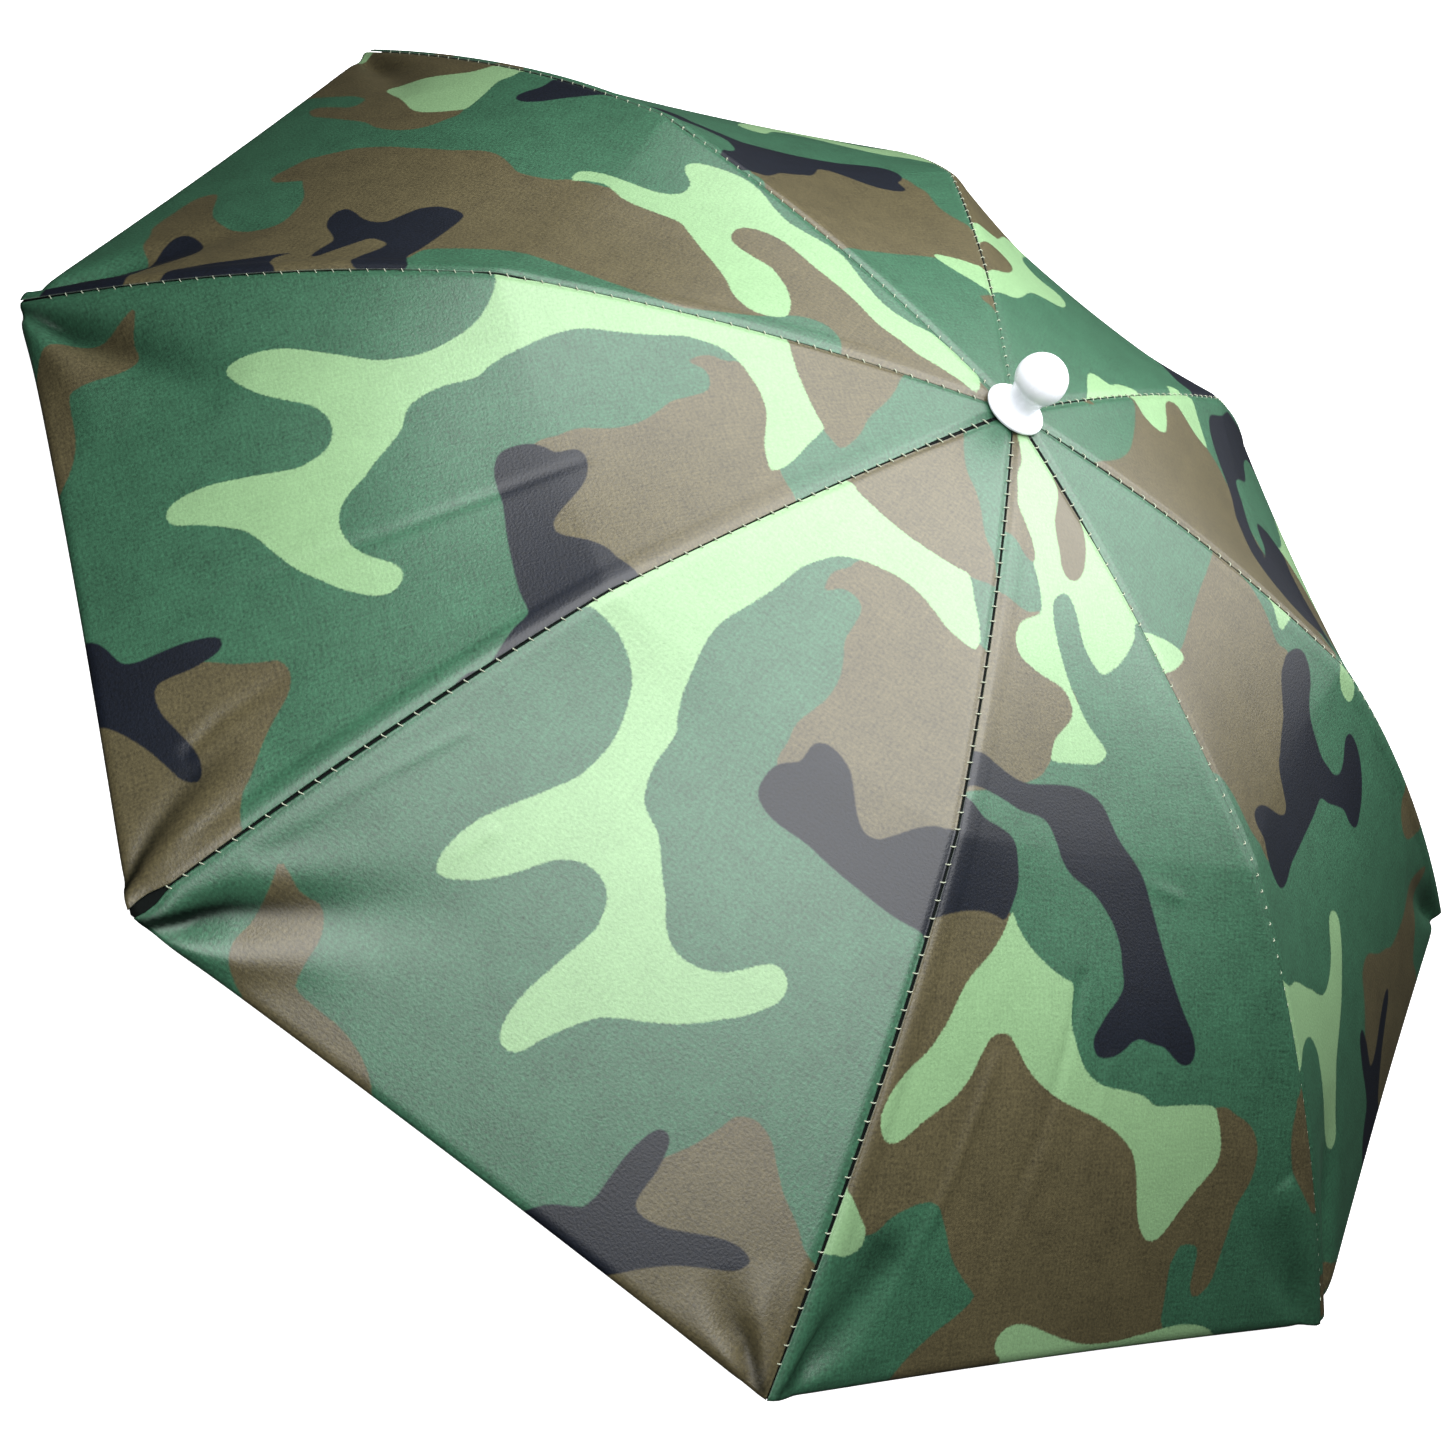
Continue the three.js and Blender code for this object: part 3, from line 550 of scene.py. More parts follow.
def near_line(line, x, y):
    """Distance of each point from a line, and how far along it that is, from 0 to 1."""
    line = np.asarray(line, float)
    starts = lengths_along(line)
    starts /= starts[-1]
    best, place_on = np.full(x.shape, np.inf), np.zeros(x.shape)
    for index, (begin, finish) in enumerate(zip(line[:-1], line[1:])):
        run = finish - begin
        share = np.clip(((x - begin[0]) * run[0] + (y - begin[1]) * run[1]) / (run @ run), 0, 1)
        gap = np.hypot(x - begin[0] - share * run[0], y - begin[1] - share * run[1])
        closer = gap < best
        best = np.where(closer, gap, best)
        place_on = np.where(closer, lerp(starts[index], starts[index + 1], share), place_on)
    return best, place_on


def fold_rise(gore, x, y):
    """How far the folds stand out, and how much painted shade darkens each point, from 0 to 1."""
    rise, painted_shade = np.zeros(x.shape), np.zeros(x.shape)
    for fold in FOLDS:
        if fold["gore"] != gore:
            continue
        gap, share = near_line(fold["line"], x, y)
        width = fold["width"] * lerp(fold["start"], 1, share)
        rise += fold["rise"] * np.exp(-((gap / width) ** 2)) * np.sin(np.pi * share**FOLD_FRONT)
        # Painted shade along the fold's beginning, fading out along its line.
        painted_shade_amount = fold["painted_shade_amount"] * np.exp(-((gap / width / PAINTED_SHADE_SHARE) ** 2)) * (1 - share)
        painted_shade = np.maximum(painted_shade, np.minimum(1, painted_shade_amount))
    return rise, painted_shade


def rounded(points, steps=4):
    """A smooth closed line through the points."""
    points = np.asarray(points, float)
    before, after, beyond = np.roll(points, 1, 0), np.roll(points, -1, 0), np.roll(points, -2, 0)
    made = []
    for step in range(steps):
        t = step / steps
        made.append(
            points
            + 0.5 * t * (after - before)
            + t * t * (before - 2.5 * points + 2 * after - 0.5 * beyond)
            + t * t * t * (1.5 * (points - after) + 0.5 * (beyond - before))
        )
    return np.stack(made, 1).reshape(-1, 2)


def inside_by(outline, x, y):
    """Distance inside a closed outline, negative outside, cut off at the print's reach."""
    result = np.full(x.shape, -float(PRINT_REACH))
    low, high = outline.min(0) - PRINT_REACH, outline.max(0) + PRINT_REACH
    near = (x > low[0]) & (x < high[0]) & (y > low[1]) & (y < high[1])
    if not near.any():
        return result
    px, py = x[near], y[near]
    best = np.full(px.shape, float(PRINT_REACH) ** 2)
    within = np.zeros(px.shape, bool)
    for (ax, ay), (bx, by) in zip(outline, np.roll(outline, -1, 0)):
        run_x, run_y = bx - ax, by - ay
        length = run_x**2 + run_y**2
        if length == 0:
            continue
        share = np.clip(((px - ax) * run_x + (py - ay) * run_y) / length, 0, 1)
        best = np.minimum(best, (px - ax - share * run_x) ** 2 + (py - ay - share * run_y) ** 2)
        if ay != by:
            within ^= ((ay > py) != (by > py)) & (px < ax + (py - ay) * run_x / run_y)
    result[near] = np.where(within, 1, -1) * np.sqrt(best)
    return result


def print_on(gore, x, y):
    """How far inside each ink's outlines the points of a gore lie."""
    layers = {ink: np.full(x.shape, -float(PRINT_REACH)) for ink in INKS}
    for cut in CUTS:
        if cut["gore"] != gore:
            continue
        beyond = np.maximum(y - cut["hinge"], 0)
        cloth_x = x + cut["across"] + cut["lean"] * beyond
        cloth_y = y + cut["down"] + cut["stretch"] * beyond
        for shape in SHAPES:
            if shape["chart"] == cut["chart"]:
                inside = inside_by(rounded(shape["line"]), cloth_x, cloth_y)
                layers[shape["ink"]] = np.maximum(layers[shape["ink"]], inside)
    return layers


class Wire:
    """One output of a shader node. Sums and products of it add their Math nodes."""

    def __init__(self, tree, socket=None):
        self.tree = tree
        self.socket = socket

    def node(self, kind, settings=None, sockets=None, output=0):
        made = self.tree.nodes.new(kind)
        for name, value in (settings or {}).items():
            setattr(made, name, value)
        for name, value in (sockets or {}).items():
            if isinstance(value, Wire):
                self.tree.links.new(value.socket, made.inputs[name])
            else:
                made.inputs[name].default_value = value
        return Wire(self.tree, made.outputs[output] if made.outputs else None)

    def maths(self, operation, first, second):
        return self.node("ShaderNodeMath", {"operation": operation}, {0: first, 1: second})

    def __add__(self, other):
        return self.maths("ADD", self, other)

    def __sub__(self, other):
        return self.maths("SUBTRACT", self, other)

    def __mul__(self, other):
        return self.maths("MULTIPLY", self, other)

    def __radd__(self, other):
        return self.maths("ADD", other, self)

    def __rsub__(self, other):
        return self.maths("SUBTRACT", other, self)

    def __rmul__(self, other):
        return self.maths("MULTIPLY", other, self)

    def clamped(self):
        return self.node("ShaderNodeClamp", {}, {"Value": self})


def ink(red, green, blue):
    """A colour as seen on a screen, from 0 to 255, turned to linear light."""
    values = [part / 255 for part in (red, green, blue)]
    return tuple(v / 12.92 if v <= 0.04045 else ((v + 0.055) / 1.055) ** 2.4 for v in values) + (1,)


def blend_colours(wire, share, first, second, mode="MIX"):
    return wire.node(
        "ShaderNodeMix",
        {"data_type": "RGBA", "blend_type": mode},
        {0: share, 6: first, 7: second},
        output=2,
    )


def noise(place, scale, detail=2.0, roughness=0.5):
    sockets = {"Vector": place, "Scale": scale, "Detail": detail, "Roughness": roughness}
    return place.node("ShaderNodeTexNoise", {}, sockets)


def bumps(height, strength, depth):
    sockets = {"Height": height, "Strength": strength, "Distance": depth}
    return height.node("ShaderNodeBump", {}, sockets)


def value_at(wire, attribute):
    """A number that the mesh carries at each point."""
    return wire.node("ShaderNodeAttribute", {"attribute_name": attribute}, output=2)


def place_on_object(wire):
    return wire.node("ShaderNodeTexCoord", output=3)


def new_material(name):
    material = bpy.data.materials.new(name)
    material.use_nodes = True
    material.node_tree.nodes.clear()
    return material, Wire(material.node_tree)


def finish_material(wire, sockets):
    shader = wire.node("ShaderNodeBsdfPrincipled", {}, sockets)
    wire.node("ShaderNodeOutputMaterial", {}, {"Surface": shader})


GREEN = ink(42, 80, 59)
BROWN = ink(71, 65, 44)
LIGHT_GREEN = ink(114, 146, 106)
BLACK = ink(15, 20, 31)
PALE_UNDERSIDE = ink(168, 186, 172)
# Near-black matt cloth: the dull face of the black print, and painted shade in the folds.
DARK_MATT_AND_PAINTED_SHADE = ink(5, 8, 7)
PALENESS = 0.45
EDGE_WAVER = 0.9
EDGE_SHARPNESS = 1.5
MOTTLING = 0.7
GRAININESS = 1.5
THREADS = 0.5
MEAN_TONE = 0.6
LIGHT_EVENNESS = 0.65
BLACK_DULLNESS = 0.25
# How far painted shade turns the cloth towards the near-black matt cloth.
PAINTED_SHADE_STRENGTH = 0.95

# The print's edges waver, its tone varies with the mottling and the threads, less on the
# light green, and the cloth is duller where it is printed black. Where a fold closes over,
# the cloth is mixed towards a near-black matt cloth as painted shade.
cloth_material, wire = new_material("camouflage_cloth")
cut_map = wire.node("ShaderNodeUVMap", {"uv_map": "cut"})
grain = noise(cut_map, 900.0)
waver = (grain - 0.5) * EDGE_WAVER
printed = GREEN
covered = {}
for layer, colour in zip(INKS, (BROWN, LIGHT_GREEN, BROWN, BLACK)):
    covered[layer] = ((value_at(wire, layer) + waver) * EDGE_SHARPNESS + 0.5).clamped()
    printed = blend_colours(wire, covered[layer], printed, colour)
mottle = noise(cut_map, 60.0, 6.0, 0.7)
shade = MOTTLING * mottle + GRAININESS * grain - MEAN_TONE
for thread_scale in ((1100.0, 90.0, 1.0), (90.0, 1100.0, 1.0)):
    drawn_out = wire.node("ShaderNodeMapping", {}, {"Vector": cut_map, "Scale": thread_scale})
    shade = shade + THREADS * noise(drawn_out, 1.0)
shade = shade + LIGHT_EVENNESS * covered["light"] * (1 - shade)
shade_colour = wire.node("ShaderNodeCombineColor", {}, {0: shade, 1: shade, 2: shade})
faded = blend_colours(wire, 1.0, printed, shade_colour, "MULTIPLY")
underside = blend_colours(wire, PALENESS, faded, PALE_UNDERSIDE)
cloth_colour = blend_colours(wire, value_at(wire, "inside"), faded, underside)
cloth_bump = bumps(noise(cut_map, 1100.0, 1.0), 0.25, 0.0004)
open_cloth = wire.node(
    "ShaderNodeBsdfPrincipled",
    {},
    {
        "Base Color": cloth_colour,
        "Roughness": 0.42,
        "Specular IOR Level": 0.65,
        "Normal": cloth_bump,
    },
)
# The cloth is mixed towards this near-black matt shader: a little on the black print, and almost
# fully as painted shade where a fold closes over.
matt_and_painted_shade_cloth = wire.node(
    "ShaderNodeBsdfPrincipled",
    {},
    {"Base Color": DARK_MATT_AND_PAINTED_SHADE, "Roughness": 1.0, "Specular IOR Level": 0.0},
)
# Painted shade of the folds, carried by the gores' points.
painted_shade = value_at(wire, "painted_shade")
matt_black = BLACK_DULLNESS * covered["black"]
dullness_and_painted_shade = PAINTED_SHADE_STRENGTH * painted_shade + matt_black - matt_black * painted_shade
cloth_shader = wire.node("ShaderNodeMixShader", {}, {0: dullness_and_painted_shade, 1: open_cloth, 2: matt_and_painted_shade_cloth})
wire.node("ShaderNodeOutputMaterial", {}, {"Surface": cloth_shader})


def mesh_object(name, vertices, faces, material):
    """A smooth mesh piece. Its points come in millimetres."""
    mesh = bpy.data.meshes.new(name)
    mesh.from_pydata([tuple(v) for v in np.asarray(vertices) * MM], [], faces)
    mesh.polygons.foreach_set("use_smooth", [True] * len(mesh.polygons))
    mesh.materials.append(material)
    mesh.update()
    made = bpy.data.objects.new(name, mesh)
    scene.collection.objects.link(made)
    return made


def give_cut_map(piece, flat):
    """The piece's UV map: where each point lies on its cloth before it is made up."""
    corner = np.empty(len(piece.data.loops), np.int32)
    piece.data.loops.foreach_get("vertex_index", corner)
    cut = piece.data.uv_layers.new(name="cut").data
    cut.foreach_set("uv", (flat[corner] * MM).astype(np.float32).ravel())


def give_values(piece, name, values):
    """A number for each point of the piece, which its material reads."""
    attribute = piece.data.attributes.new(name, "FLOAT", "POINT")
    attribute.data.foreach_set("value", np.asarray(values, np.float32))


def grid_faces(rows, columns, first=0, flip=False):
    at = np.arange(rows * columns).reshape(rows, columns) + first
    quads = np.stack([at[:-1, :-1], at[:-1, 1:], at[1:, 1:], at[1:, :-1]], -1).reshape(-1, 4)
    return quads[:, ::-1] if flip else quads


def wall_faces(rows, columns):
    """Both skins of a cloth grid and the strip round their edges."""
    at = np.arange(rows * columns).reshape(rows, columns)
    rim = np.concatenate([at[0, :-1], at[:-1, -1], at[-1, :0:-1], at[:0:-1, 0]])
    after = np.roll(rim, -1)
    inner = rows * columns
    edge = np.stack([rim, rim + inner, after + inner, after], -1)
    return np.concatenate([grid_faces(rows, columns), grid_faces(rows, columns, inner, True), edge])


CLOTH_ROWS = 220
CLOTH_COLUMNS = 112
ROWS_TO_HEM = 0.1
COLUMNS_TO_SEAMS = 0.25
EDGE_COLUMNS = np.array([0.002, 0.005])
HEM_DEPTH = 3.5
HEM_CURL = 1.0
STRIP_HALF = 3.4
FOLD_FADE = 8
SEAM_DIP = 1.0
SEAM_DIP_WIDTH = 1.7

# The turned-in cloth of a seam lies to its one side, or to both or neither. It lifts the
# gore there, by a quarter of RAISED_BY near the crown and by all of it further down.
RAISED_SIDES = {6: ("left", "right"), 7: ()}
RAISED_WIDTH = 8
RAISED_BY = 0.8
RAISED_EDGE = 0.7
RAISED_AT_CROWN = 0.25
RAISED_FROM, RAISED_FULLY = 150, 230
RAISED_START, RAISED_RUN = 30, 40


def raised_by_seams(gore, from_left, width, y):
    """How far the turned-in cloth lifts each point of a gore."""
    raised = np.zeros(y.shape)
    for side in RAISED_SIDES.get(gore, ("left",)):
        from_side = from_left if side == "left" else width - from_left
        strip = 1 / (1 + np.exp((from_side - RAISED_WIDTH) / RAISED_EDGE))
        begun = np.clip((y - RAISED_START) / RAISED_RUN, 0, 1)
        full = np.clip((y - RAISED_FROM) / (RAISED_FULLY - RAISED_FROM), RAISED_AT_CROWN, 1)
        raised += RAISED_BY * strip * begun * full
    return raised


gores = []
for number in range(1, GORES + 1):
    start_down = CENTRE_HOLE_RADIUS / rib_of(number)["knee_radius"]
    step = np.linspace(0, 1, CLOTH_ROWS)
    down = lerp(start_down, 2, step + ROWS_TO_HEM * np.sin(np.pi * step))
    step = np.linspace(0, 1, CLOTH_COLUMNS)
    spread_out = step - COLUMNS_TO_SEAMS * np.sin(2 * np.pi * step) / (2 * np.pi)
    across = np.unique(np.concatenate([spread_out, EDGE_COLUMNS, 1 - EDGE_COLUMNS]))
    outer = rolled_cloth(number, down, across, 0.0)
    middle_line = taut_cloth(number, down, np.array([0.5]), 0.0)[:, 0]
    y_row = np.linalg.norm(middle_line[0] - [0, 0, CROWN_HEIGHT]) + lengths_along(middle_line)
    widths = np.linalg.norm(outer[:, -1] - outer[:, 0], axis=-1)
    x = (across[None, :] - 0.5) * widths[:, None]
    y = np.broadcast_to(y_row[:, None], x.shape)
    to_seam = widths[:, None] / 2 - np.abs(x)
    turned_in = HEM_CURL * np.clip((y - y_row[-1] + HEM_DEPTH) / HEM_DEPTH, 0, 1) ** 2
    rise, painted_shade = fold_rise(number, x, y)
    rise = (rise - turned_in) * np.clip((to_seam - STRIP_HALF) / FOLD_FADE, 0, 1)
    rise += raised_by_seams(number, widths[:, None] / 2 + x, widths[:, None], y)
    rise -= SEAM_DIP * np.exp(-((to_seam / SEAM_DIP_WIDTH) ** 2))
    lift = gore_normals(number, down)[:, None] * rise[..., None]
    inner = rolled_cloth(number, down, across, CLOTH)
    points = np.concatenate([(outer + lift).reshape(-1, 3), (inner + lift).reshape(-1, 3)])
    faces = wall_faces(*x.shape).tolist()
    gore = mesh_object(f"cloth_gore_{number}", points, faces, cloth_material)
    for layer, values in print_on(number, x.ravel(), y.ravel()).items():
        give_values(gore, layer, np.tile(values, 2))
    # Painted shade of the closed folds, read by the cloth's material.
    give_values(gore, "painted_shade", np.tile(painted_shade.ravel(), 2))
    give_values(gore, "inside", np.repeat([0.0, 1.0], x.size))
    give_cut_map(gore, np.tile(np.stack([x.ravel(), y.ravel()], -1), (2, 1)))
    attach(gore, "root")
    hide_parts(f"canopy_gore_{number}")
    area = float(((widths[1:] + widths[:-1]) / 2 * np.diff(y_row)).sum()) * MM * MM
    gores.append({"piece": gore, "flat": (widths[-1] * MM, y_row[-1] * MM), "area": area})

# Seams: each gore is sewn to the next from inside, so that a strip of both cloths lies
# under the seam. The thread shows between them as short bars across a groove, whose dark is painted
# shade on the strip's outer face.
STITCH_PITCH = 6.1
STITCH_GRIP = 0.7
STITCH_RADIUS = 0.24
STITCH_SLANT = 0.5
SLANT_REACH = 10
STITCH_SIDES = 6
STITCH_PATH = ((-1, 1.1), (-0.5, 0.6), (0, 0.5), (0.5, 0.6), (1, 1.1))
SEWN_FROM = 14
FIRST_STITCH = 2
SEAM_STEPS = 2000
SEAM_STEP = 0.002
SEAM_INNER = 5.0
OPENED = 0.95
OPENED_FROM = 1.5
STRIP_FROM = 12
STRIP_END = 1.998
STRIP_STEPS = 120
STRIP_WALL = 0.25
STRIP_SECTION = [(-STRIP_HALF, 0.9), (-1.9, 1.1), (0, 1.3), (1.9, 1.1), (STRIP_HALF, 0.9)]
LAST_STITCH = STRIP_END - 0.04

thread_material, wire = new_material("seam_thread")
twist = noise(place_on_object(wire), 2500.0)
thread_tone = blend_colours(wire, twist, ink(120, 128, 110), ink(170, 176, 156))
thread_bump = bumps(twist, 0.4, 0.0002)
finish_material(wire, {"Base Color": thread_tone, "Roughness": 0.6, "Normal": thread_bump})

# The strip's outer face, seen down the groove, is near black as painted shade; its inner face is
# the pale cloth.
strip_cloth_and_painted_shade, wire = new_material("seam_strip_cloth_and_painted_shade")
mottle = noise(place_on_object(wire), 900.0, 3.0)
painted_groove_shade = blend_colours(wire, mottle, ink(3, 6, 5), ink(12, 16, 15))
strip_tone = blend_colours(wire, value_at(wire, "inside"), painted_groove_shade, ink(140, 160, 146))
finish_material(
    wire,
    {
        "Base Color": strip_tone,
        "Roughness": 0.9,
        "Specular IOR Level": 0.1,
        "Normal": bumps(mottle, 0.3, 0.0003),
    },
)


def beside_seam(number, down, offset, depth):
    """Points a few millimetres to one side of a seam, sunk below the taut cloth."""
    gore, far = (number, number + 1) if offset >= 0 else (number - 1, number - 1)
    start, side = seam_line(number, down, depth), seam_line(far, down, depth)
    width = np.linalg.norm(side - start, axis=-1)
    normals = gore_normals(rib_number(gore), down)
    sag = sag_at(down) * np.sin(np.pi * abs(offset) / width)
    return start + unit(side - start) * abs(offset) - normals * sag[:, None]


def stitch_faces(stitches):
    """Faces of short rods, each of rings along its path, with both ends closed."""
    rings, sides = len(STITCH_PATH), STITCH_SIDES
    faces = []
    for base in range(0, stitches * rings * sides, rings * sides):
        for first in range(base, base + (rings - 1) * sides, sides):
            for side in range(sides):
                one, two = first + side, first + (side + 1) % sides
                faces.append((one, one + sides, two + sides, two))
        faces.append(tuple(base + side for side in range(sides)))
        faces.append(tuple(base + (rings - 1) * sides + side for side in reversed(range(sides))))
    return faces


seam_pieces = []
for number in range(1, GORES + 1):
    rib = rib_of(number)
    down = np.linspace(STRIP_FROM / rib["knee_radius"], STRIP_END, STRIP_STEPS)
    skins = [
        [beside_seam(number, down, offset, depth + wall) for offset, depth in STRIP_SECTION]
        for wall in (0, STRIP_WALL)
    ]
    points = np.concatenate([np.stack(skin, 1).reshape(-1, 3) for skin in skins])
    faces = wall_faces(STRIP_STEPS, len(STRIP_SECTION)).tolist()
    strip = mesh_object(f"seam_strip_{number}", points, faces, strip_cloth_and_painted_shade)
    give_values(strip, "inside", np.repeat([0.0, 1.0], STRIP_STEPS * len(STRIP_SECTION)))

    fine = np.linspace(SEWN_FROM / rib["knee_radius"], LAST_STITCH, SEAM_STEPS)
    length = seam_distance(number, fine)
    places = np.arange(length[0] + FIRST_STITCH, length[-1], STITCH_PITCH)
    stitches = np.interp(places, length, fine)
    stitches = stitches[(stitches < OPENED_FROM) | (half_groove(number, stitches) < OPENED)]
    reach = half_groove(number, stitches) + STITCH_GRIP
    slant = STITCH_SLANT / (rib["knee_radius"] + SLANT_REACH)
    path = []
    for share, depth in STITCH_PATH:
        at_side = [
            beside_seam(number, stitches[[index]] + slant * share, share * reach[index], depth)[0]
            for index in range(len(stitches))
        ]
        path.append(at_side)
    path = np.stack(path, 1)
    at_seam, after = [seam_line(number, stitches + step, 0.0) for step in (0, SEAM_STEP)]
    along = unit(after - at_seam)
    lift = unit(path[:, 0] + path[:, -1] - 2 * seam_line(number, stitches, SEAM_INNER))
    rings = []
    for angle in np.linspace(0, 2 * np.pi, STITCH_SIDES, endpoint=False):
        round_it = math.cos(angle) * along + math.sin(angle) * lift
        rings.append(path + STITCH_RADIUS * round_it[:, None])
    points = np.stack(rings, 2).reshape(-1, 3)
    faces = stitch_faces(len(stitches))
    thread = mesh_object(f"seam_thread_{number}", points, faces, thread_material)
    for piece in (strip, thread):
        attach(piece, "root")
    seam_pieces.append([strip, thread])

for number, row in enumerate(gores, 1):
    f"rib_{number % GORES + 1}"
    seam_pieces[number - 1]

# Cap: one white moulding of a post, a dished flange, a neck and a round knob. Its post
# goes through the centre of the canopy into the hub.
POST_RADIUS = 4.2
POST_BOTTOM = 137
FLANGE_RADIUS = 11.6
NECK_RADIUS = 6.3
KNOB_RADIUS = 9.6
KNOB_HEIGHT = CROWN_HEIGHT + 16.5
KNOB_STEPS = 20
CAP_SIDES = 64
JOINED_WITHIN = 0.00001
CAP_PROFILE = [
    (POST_RADIUS - 0.8, POST_BOTTOM),
    (POST_RADIUS, POST_BOTTOM + 0.8),
    (POST_RADIUS, CROWN_HEIGHT + 0.1),
    (FLANGE_RADIUS - 0.4, CROWN_HEIGHT - 0.7),
    (FLANGE_RADIUS - 0.1, CROWN_HEIGHT - 0.4),
    (FLANGE_RADIUS, CROWN_HEIGHT + 0.1),
    (FLANGE_RADIUS - 0.1, CROWN_HEIGHT + 0.7),
    (FLANGE_RADIUS - 0.5, CROWN_HEIGHT + 1.2),
    (FLANGE_RADIUS - 1.1, CROWN_HEIGHT + 1.4),
    (FLANGE_RADIUS - 1.8, CROWN_HEIGHT + 1.2),
    (FLANGE_RADIUS - 2.8, CROWN_HEIGHT + 1.1),
    (NECK_RADIUS + 1.2, CROWN_HEIGHT + 1.6),
    (NECK_RADIUS + 0.5, CROWN_HEIGHT + 2.4),
    (NECK_RADIUS + 0.1, CROWN_HEIGHT + 4),
    (NECK_RADIUS, CROWN_HEIGHT + 6),
]
knob_start = -math.acos(NECK_RADIUS / KNOB_RADIUS)
for step in range(1, KNOB_STEPS):
    angle = lerp(knob_start, math.pi / 2, step / KNOB_STEPS)
    CAP_PROFILE.append((KNOB_RADIUS * math.cos(angle), KNOB_HEIGHT + KNOB_RADIUS * math.sin(angle)))
CAP_PROFILE.append((0, KNOB_HEIGHT + KNOB_RADIUS))


def dress(piece, material):
    piece.data.materials.clear()
    piece.data.materials.append(material)


def close_up(piece, material, smooth_below):
    """Joins a piece's doubled points, turns its faces outward and gives it its material."""
    bpy.ops.object.mode_set(mode="EDIT")
    bpy.ops.mesh.select_all(action="SELECT")
    bpy.ops.mesh.remove_doubles(threshold=JOINED_WITHIN)
    bpy.ops.mesh.normals_make_consistent(inside=False)
    bpy.ops.object.mode_set(mode="OBJECT")
    bpy.ops.object.shade_smooth_by_angle(angle=math.radians(smooth_below))
    dress(piece, material)
    return piece


def turned(name, profile, sides, material, centre=(0, 0)):
    """A round piece: a disc, extruded and scaled up its profile. A last radius of 0 closes it."""
    bpy.ops.object.select_all(action="DESELECT")
    radius, height = profile[0]
    x, y = centre[0] * MM, centre[1] * MM
    bpy.ops.mesh.primitive_circle_add(
        vertices=sides, radius=radius * MM, fill_type="NGON", location=(x, y, height * MM)
    )
    piece = bpy.context.object
    piece.name = name
    bpy.ops.object.transform_apply(location=True, rotation=True, scale=True)
    bpy.ops.object.mode_set(mode="EDIT")
    bpy.ops.mesh.select_all(action="SELECT")
    for next_radius, next_height in profile[1:]:
        rise = (next_height - height) * MM
        bpy.ops.mesh.extrude_region_move(TRANSFORM_OT_translate={"value": (0, 0, rise)})
        if next_radius == 0:
            bpy.ops.mesh.merge(type="CENTER")
            break
        share = next_radius / radius
        bpy.ops.transform.resize(value=(share, share, 1), center_override=(x, y, next_height * MM))
        radius, height = next_radius, next_height
    return close_up(piece, material, smooth_below=38)


def plastic(name, colour, roughness, scale, mottling):
    """Moulded plastic, clouded a little in its tone, its gloss and its surface."""
    material, wire = new_material(name)
    cloud = noise(place_on_object(wire), scale, 4.0)
    tone = 1 - mottling + mottling * cloud
    tone_colour = wire.node("ShaderNodeCombineColor", {}, {0: tone, 1: tone, 2: tone})
    base = blend_colours(wire, 1.0, colour, tone_colour, "MULTIPLY")
    sockets = {"Base Color": base, "Roughness": roughness + 0.1 * cloud}
    finish_material(wire, {**sockets, "Normal": bumps(cloud, 0.08, 0.0003)})
    return material


white_plastic = plastic("white_plastic", ink(240, 242, 250), 0.22, 260.0, 0.06)
cap = turned("crown_cap", CAP_PROFILE, CAP_SIDES, white_plastic)
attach(cap, "root")
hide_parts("cap")

# Hub: a black plastic ring under the crown, bored for the cap's post. The ribs start
# from its side. The CAD's own ring stays, in its moulded black.
dark_plastic = plastic("dark_plastic", ink(30, 32, 34), 0.42, 400.0, 0.25)
dress(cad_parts["hub"], dark_plastic)

# Ribs: eight drawn steel rods that start at the hub, bend at the knees, and end in
# small plastic feet at the corners of the canopy.
RIB_RADIUS = 1.4
RIB_DEPTH = 3
RIB_START_RADIUS = 13.8
RIB_STEPS = 60
ROD_ROUNDNESS = 3
FIT = 0.3
FOOT_INSET = 6
FOOT_SIDES = 24
FOOT_PROFILE = [(0.9, 0), (1.25, 0.25), (1.4, 0.7), (1.4, 5.2), (1.2, 5.7), (0.7, 6), (0, 6.1)]
steel, wire = new_material("steel_wire")
scratches = noise(place_on_object(wire), 300.0, 5.0)
steel_tone = blend_colours(wire, scratches, ink(150, 153, 158), ink(205, 208, 212))
finish_material(
    wire,
    {"Base Color": steel_tone, "Metallic": 1.0, "Roughness": 0.25 + 0.2 * scratches},
)


def rod(name, points, radius, material):
    """A round wire along a line of points, as a closed mesh."""
    curve = bpy.data.curves.new(name, "CURVE")
    curve.dimensions = "3D"
    curve.bevel_depth = radius * MM
    curve.bevel_resolution = ROD_ROUNDNESS
    curve.use_fill_caps = True
    spline = curve.splines.new("POLY")
    spline.points.add(len(points) - 1)
    for target, point in zip(spline.points, points):
        target.co = (*(np.asarray(point) * MM), 1)
    made = bpy.data.objects.new(name, curve)
    scene.collection.objects.link(made)
    bpy.ops.object.select_all(action="DESELECT")
    made.select_set(True)
    bpy.context.view_layer.objects.active = made
    bpy.ops.object.convert(target="MESH")
    return close_up(bpy.context.object, material, smooth_below=50)


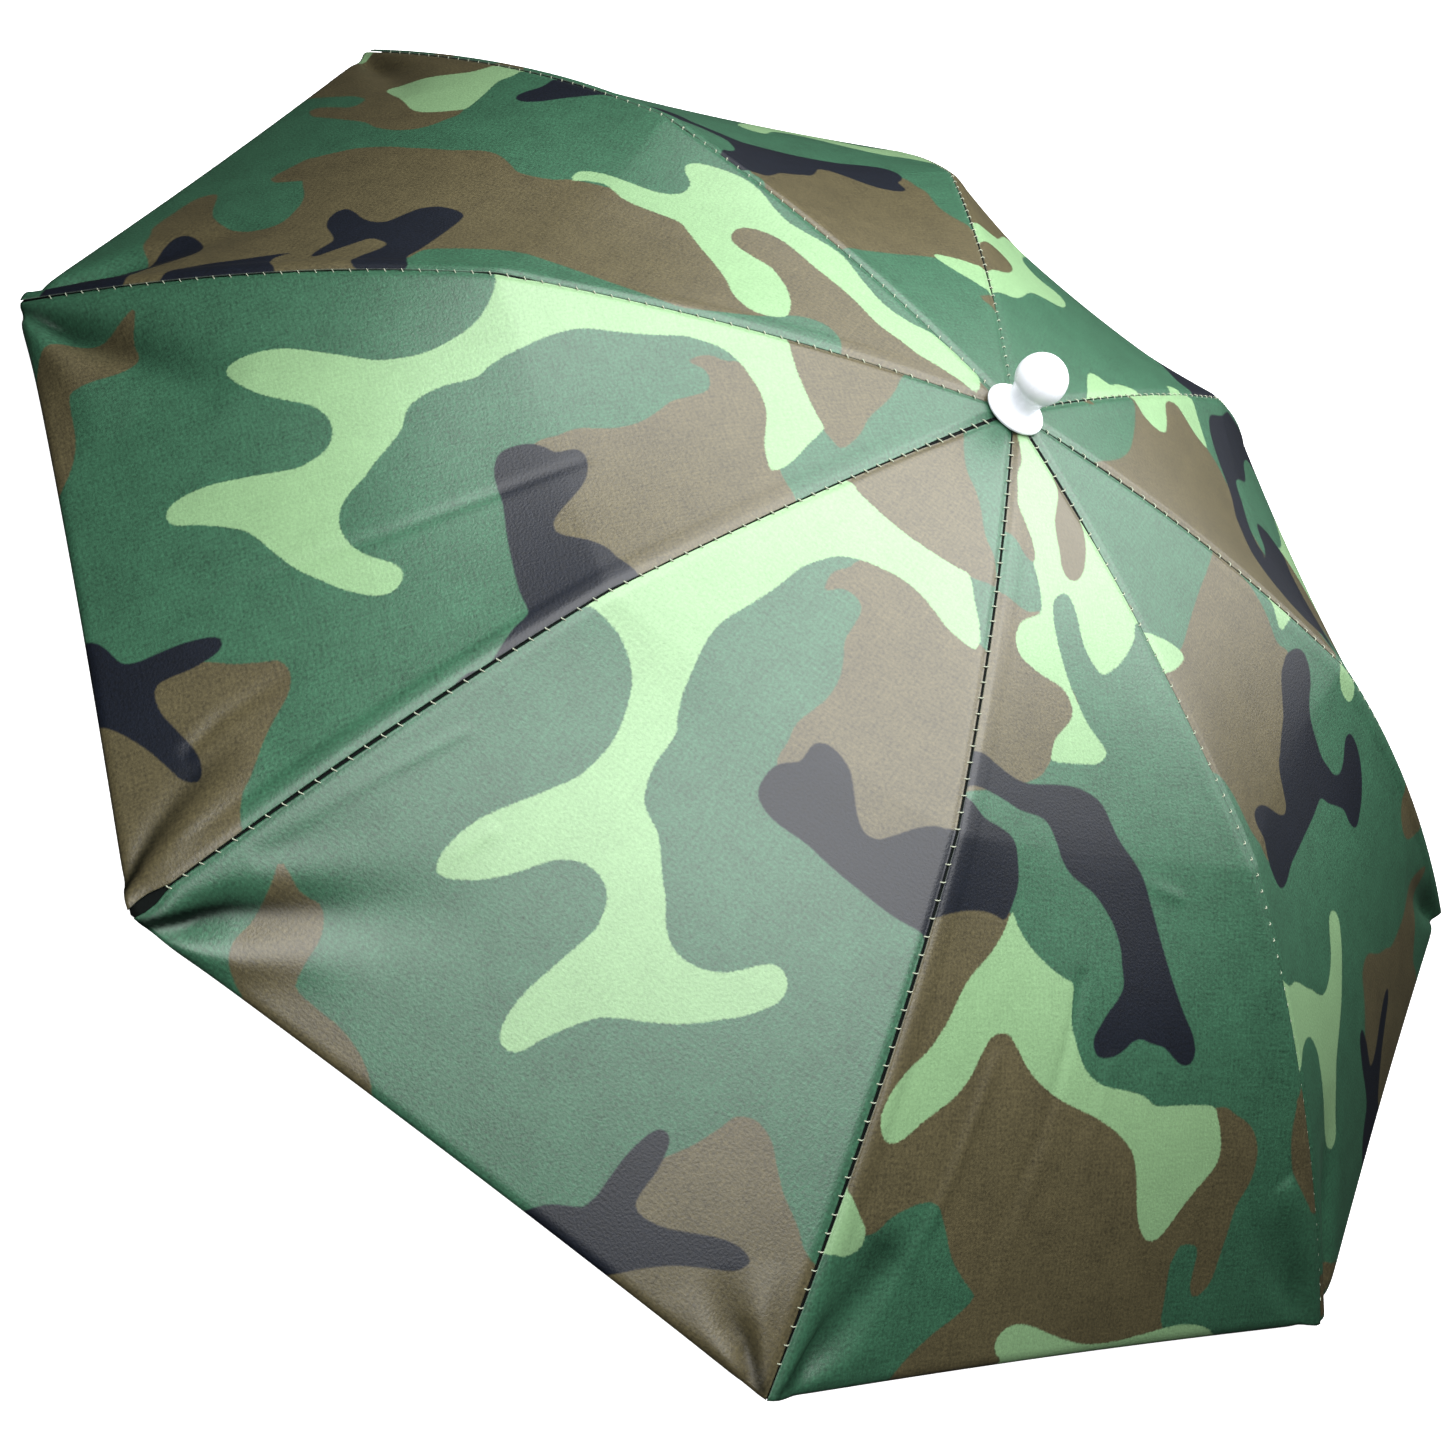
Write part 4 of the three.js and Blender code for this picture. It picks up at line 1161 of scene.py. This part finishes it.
for number in range(1, GORES + 1):
    rib = rib_of(number)
    end = 2 - (RIB_RADIUS + FIT) / (rib["tip_radius"] - rib["knee_radius"])
    down = np.linspace(RIB_START_RADIUS / rib["knee_radius"], end, RIB_STEPS)
    rib_rod = rod(f"rib_rod_{number}", seam_line(number, down, RIB_DEPTH), RIB_RADIUS, steel)
    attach(rib_rod, "root")
    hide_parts(f"rib_{number}")
    angle = math.radians(FIRST_RIB_ANGLE - (number - 1) * SECTOR + rib["tip_turn"])
    reach = rib["tip_radius"] - FOOT_INSET
    centre = (reach * math.cos(angle), reach * math.sin(angle))
    foot = turned(f"rib_end_{number}", FOOT_PROFILE, FOOT_SIDES, dark_plastic, centre)
    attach(foot, "root")
    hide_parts(f"rib_foot_{number}")

# Head band: an oval ring of woven elastic, ribbed lengthwise, and the four wire legs
# that hold it under the hub. The CAD's own legs stay, in the ribs' steel.
BAND_HALF_WIDTH = 76
BAND_HALF_LENGTH = 93
BAND_WALL = 2
BAND_BOTTOM = 14
BAND_HEIGHT = 28
BAND_LEGS = 4
BAND_CORDS = 11
CORD_RISE = 0.18
BAND_EDGE = 0.2
EDGE_SQUARENESS = 8
BAND_STEPS_ROUND = 220
BAND_STEPS_UP = 45
band_material, wire = new_material("woven_elastic")
band_map = wire.node("ShaderNodeUVMap", {"uv_map": "cut"})
fuzz = noise(band_map, 1200.0, 3.0)
finish_material(
    wire,
    {
        "Base Color": blend_colours(wire, fuzz, ink(26, 27, 30), ink(58, 60, 64)),
        "Roughness": 0.85,
        "Sheen Weight": 0.1,
        "Normal": bumps(fuzz, 0.35, 0.0003),
    },
)

# The band's outline goes up its outside and down its inside, and swells over each cord.
angles = np.linspace(0, 2 * np.pi, BAND_STEPS_ROUND, endpoint=False)
levels = np.linspace(0, 1, BAND_STEPS_UP)
edge_round = 1 - np.abs(2 * levels - 1) ** EDGE_SQUARENESS
cords = CORD_RISE * np.cos(2 * np.pi * BAND_CORDS * levels)
swell = (BAND_WALL / 2 - BAND_EDGE + cords) * edge_round
reach = BAND_WALL / 2 + np.concatenate([swell, -swell[::-1]])[:, None]
level = np.concatenate([levels, levels[::-1]])[:, None]
height = BAND_BOTTOM + BAND_EDGE / 2 + (BAND_HEIGHT - BAND_EDGE) * level
rings = np.stack(
    [
        (BAND_HALF_WIDTH + reach) * np.cos(angles),
        (BAND_HALF_LENGTH + reach) * np.sin(angles),
        np.broadcast_to(height, (len(height), BAND_STEPS_ROUND)),
    ],
    -1,
)
at = np.arange(rings[..., 0].size).reshape(rings.shape[:2])
beside = np.roll(at, -1, 1)
faces = np.stack([at, beside, np.roll(beside, -1, 0), np.roll(at, -1, 0)], -1).reshape(-1, 4)
band = mesh_object("elastic_band", rings.reshape(-1, 3), faces.tolist(), band_material)
perimeter = float(np.linalg.norm(np.diff(rings[0], axis=0, append=rings[0][:1]), axis=1).sum())
along_band = np.broadcast_to(angles / (2 * np.pi) * perimeter, rings.shape[:2])
give_cut_map(band, np.stack([along_band, rings[..., 2]], -1).reshape(-1, 2))
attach(band, "root")
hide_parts("head_band")

for number in range(1, BAND_LEGS + 1):
    dress(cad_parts[f"band_leg_{number}"], steel)
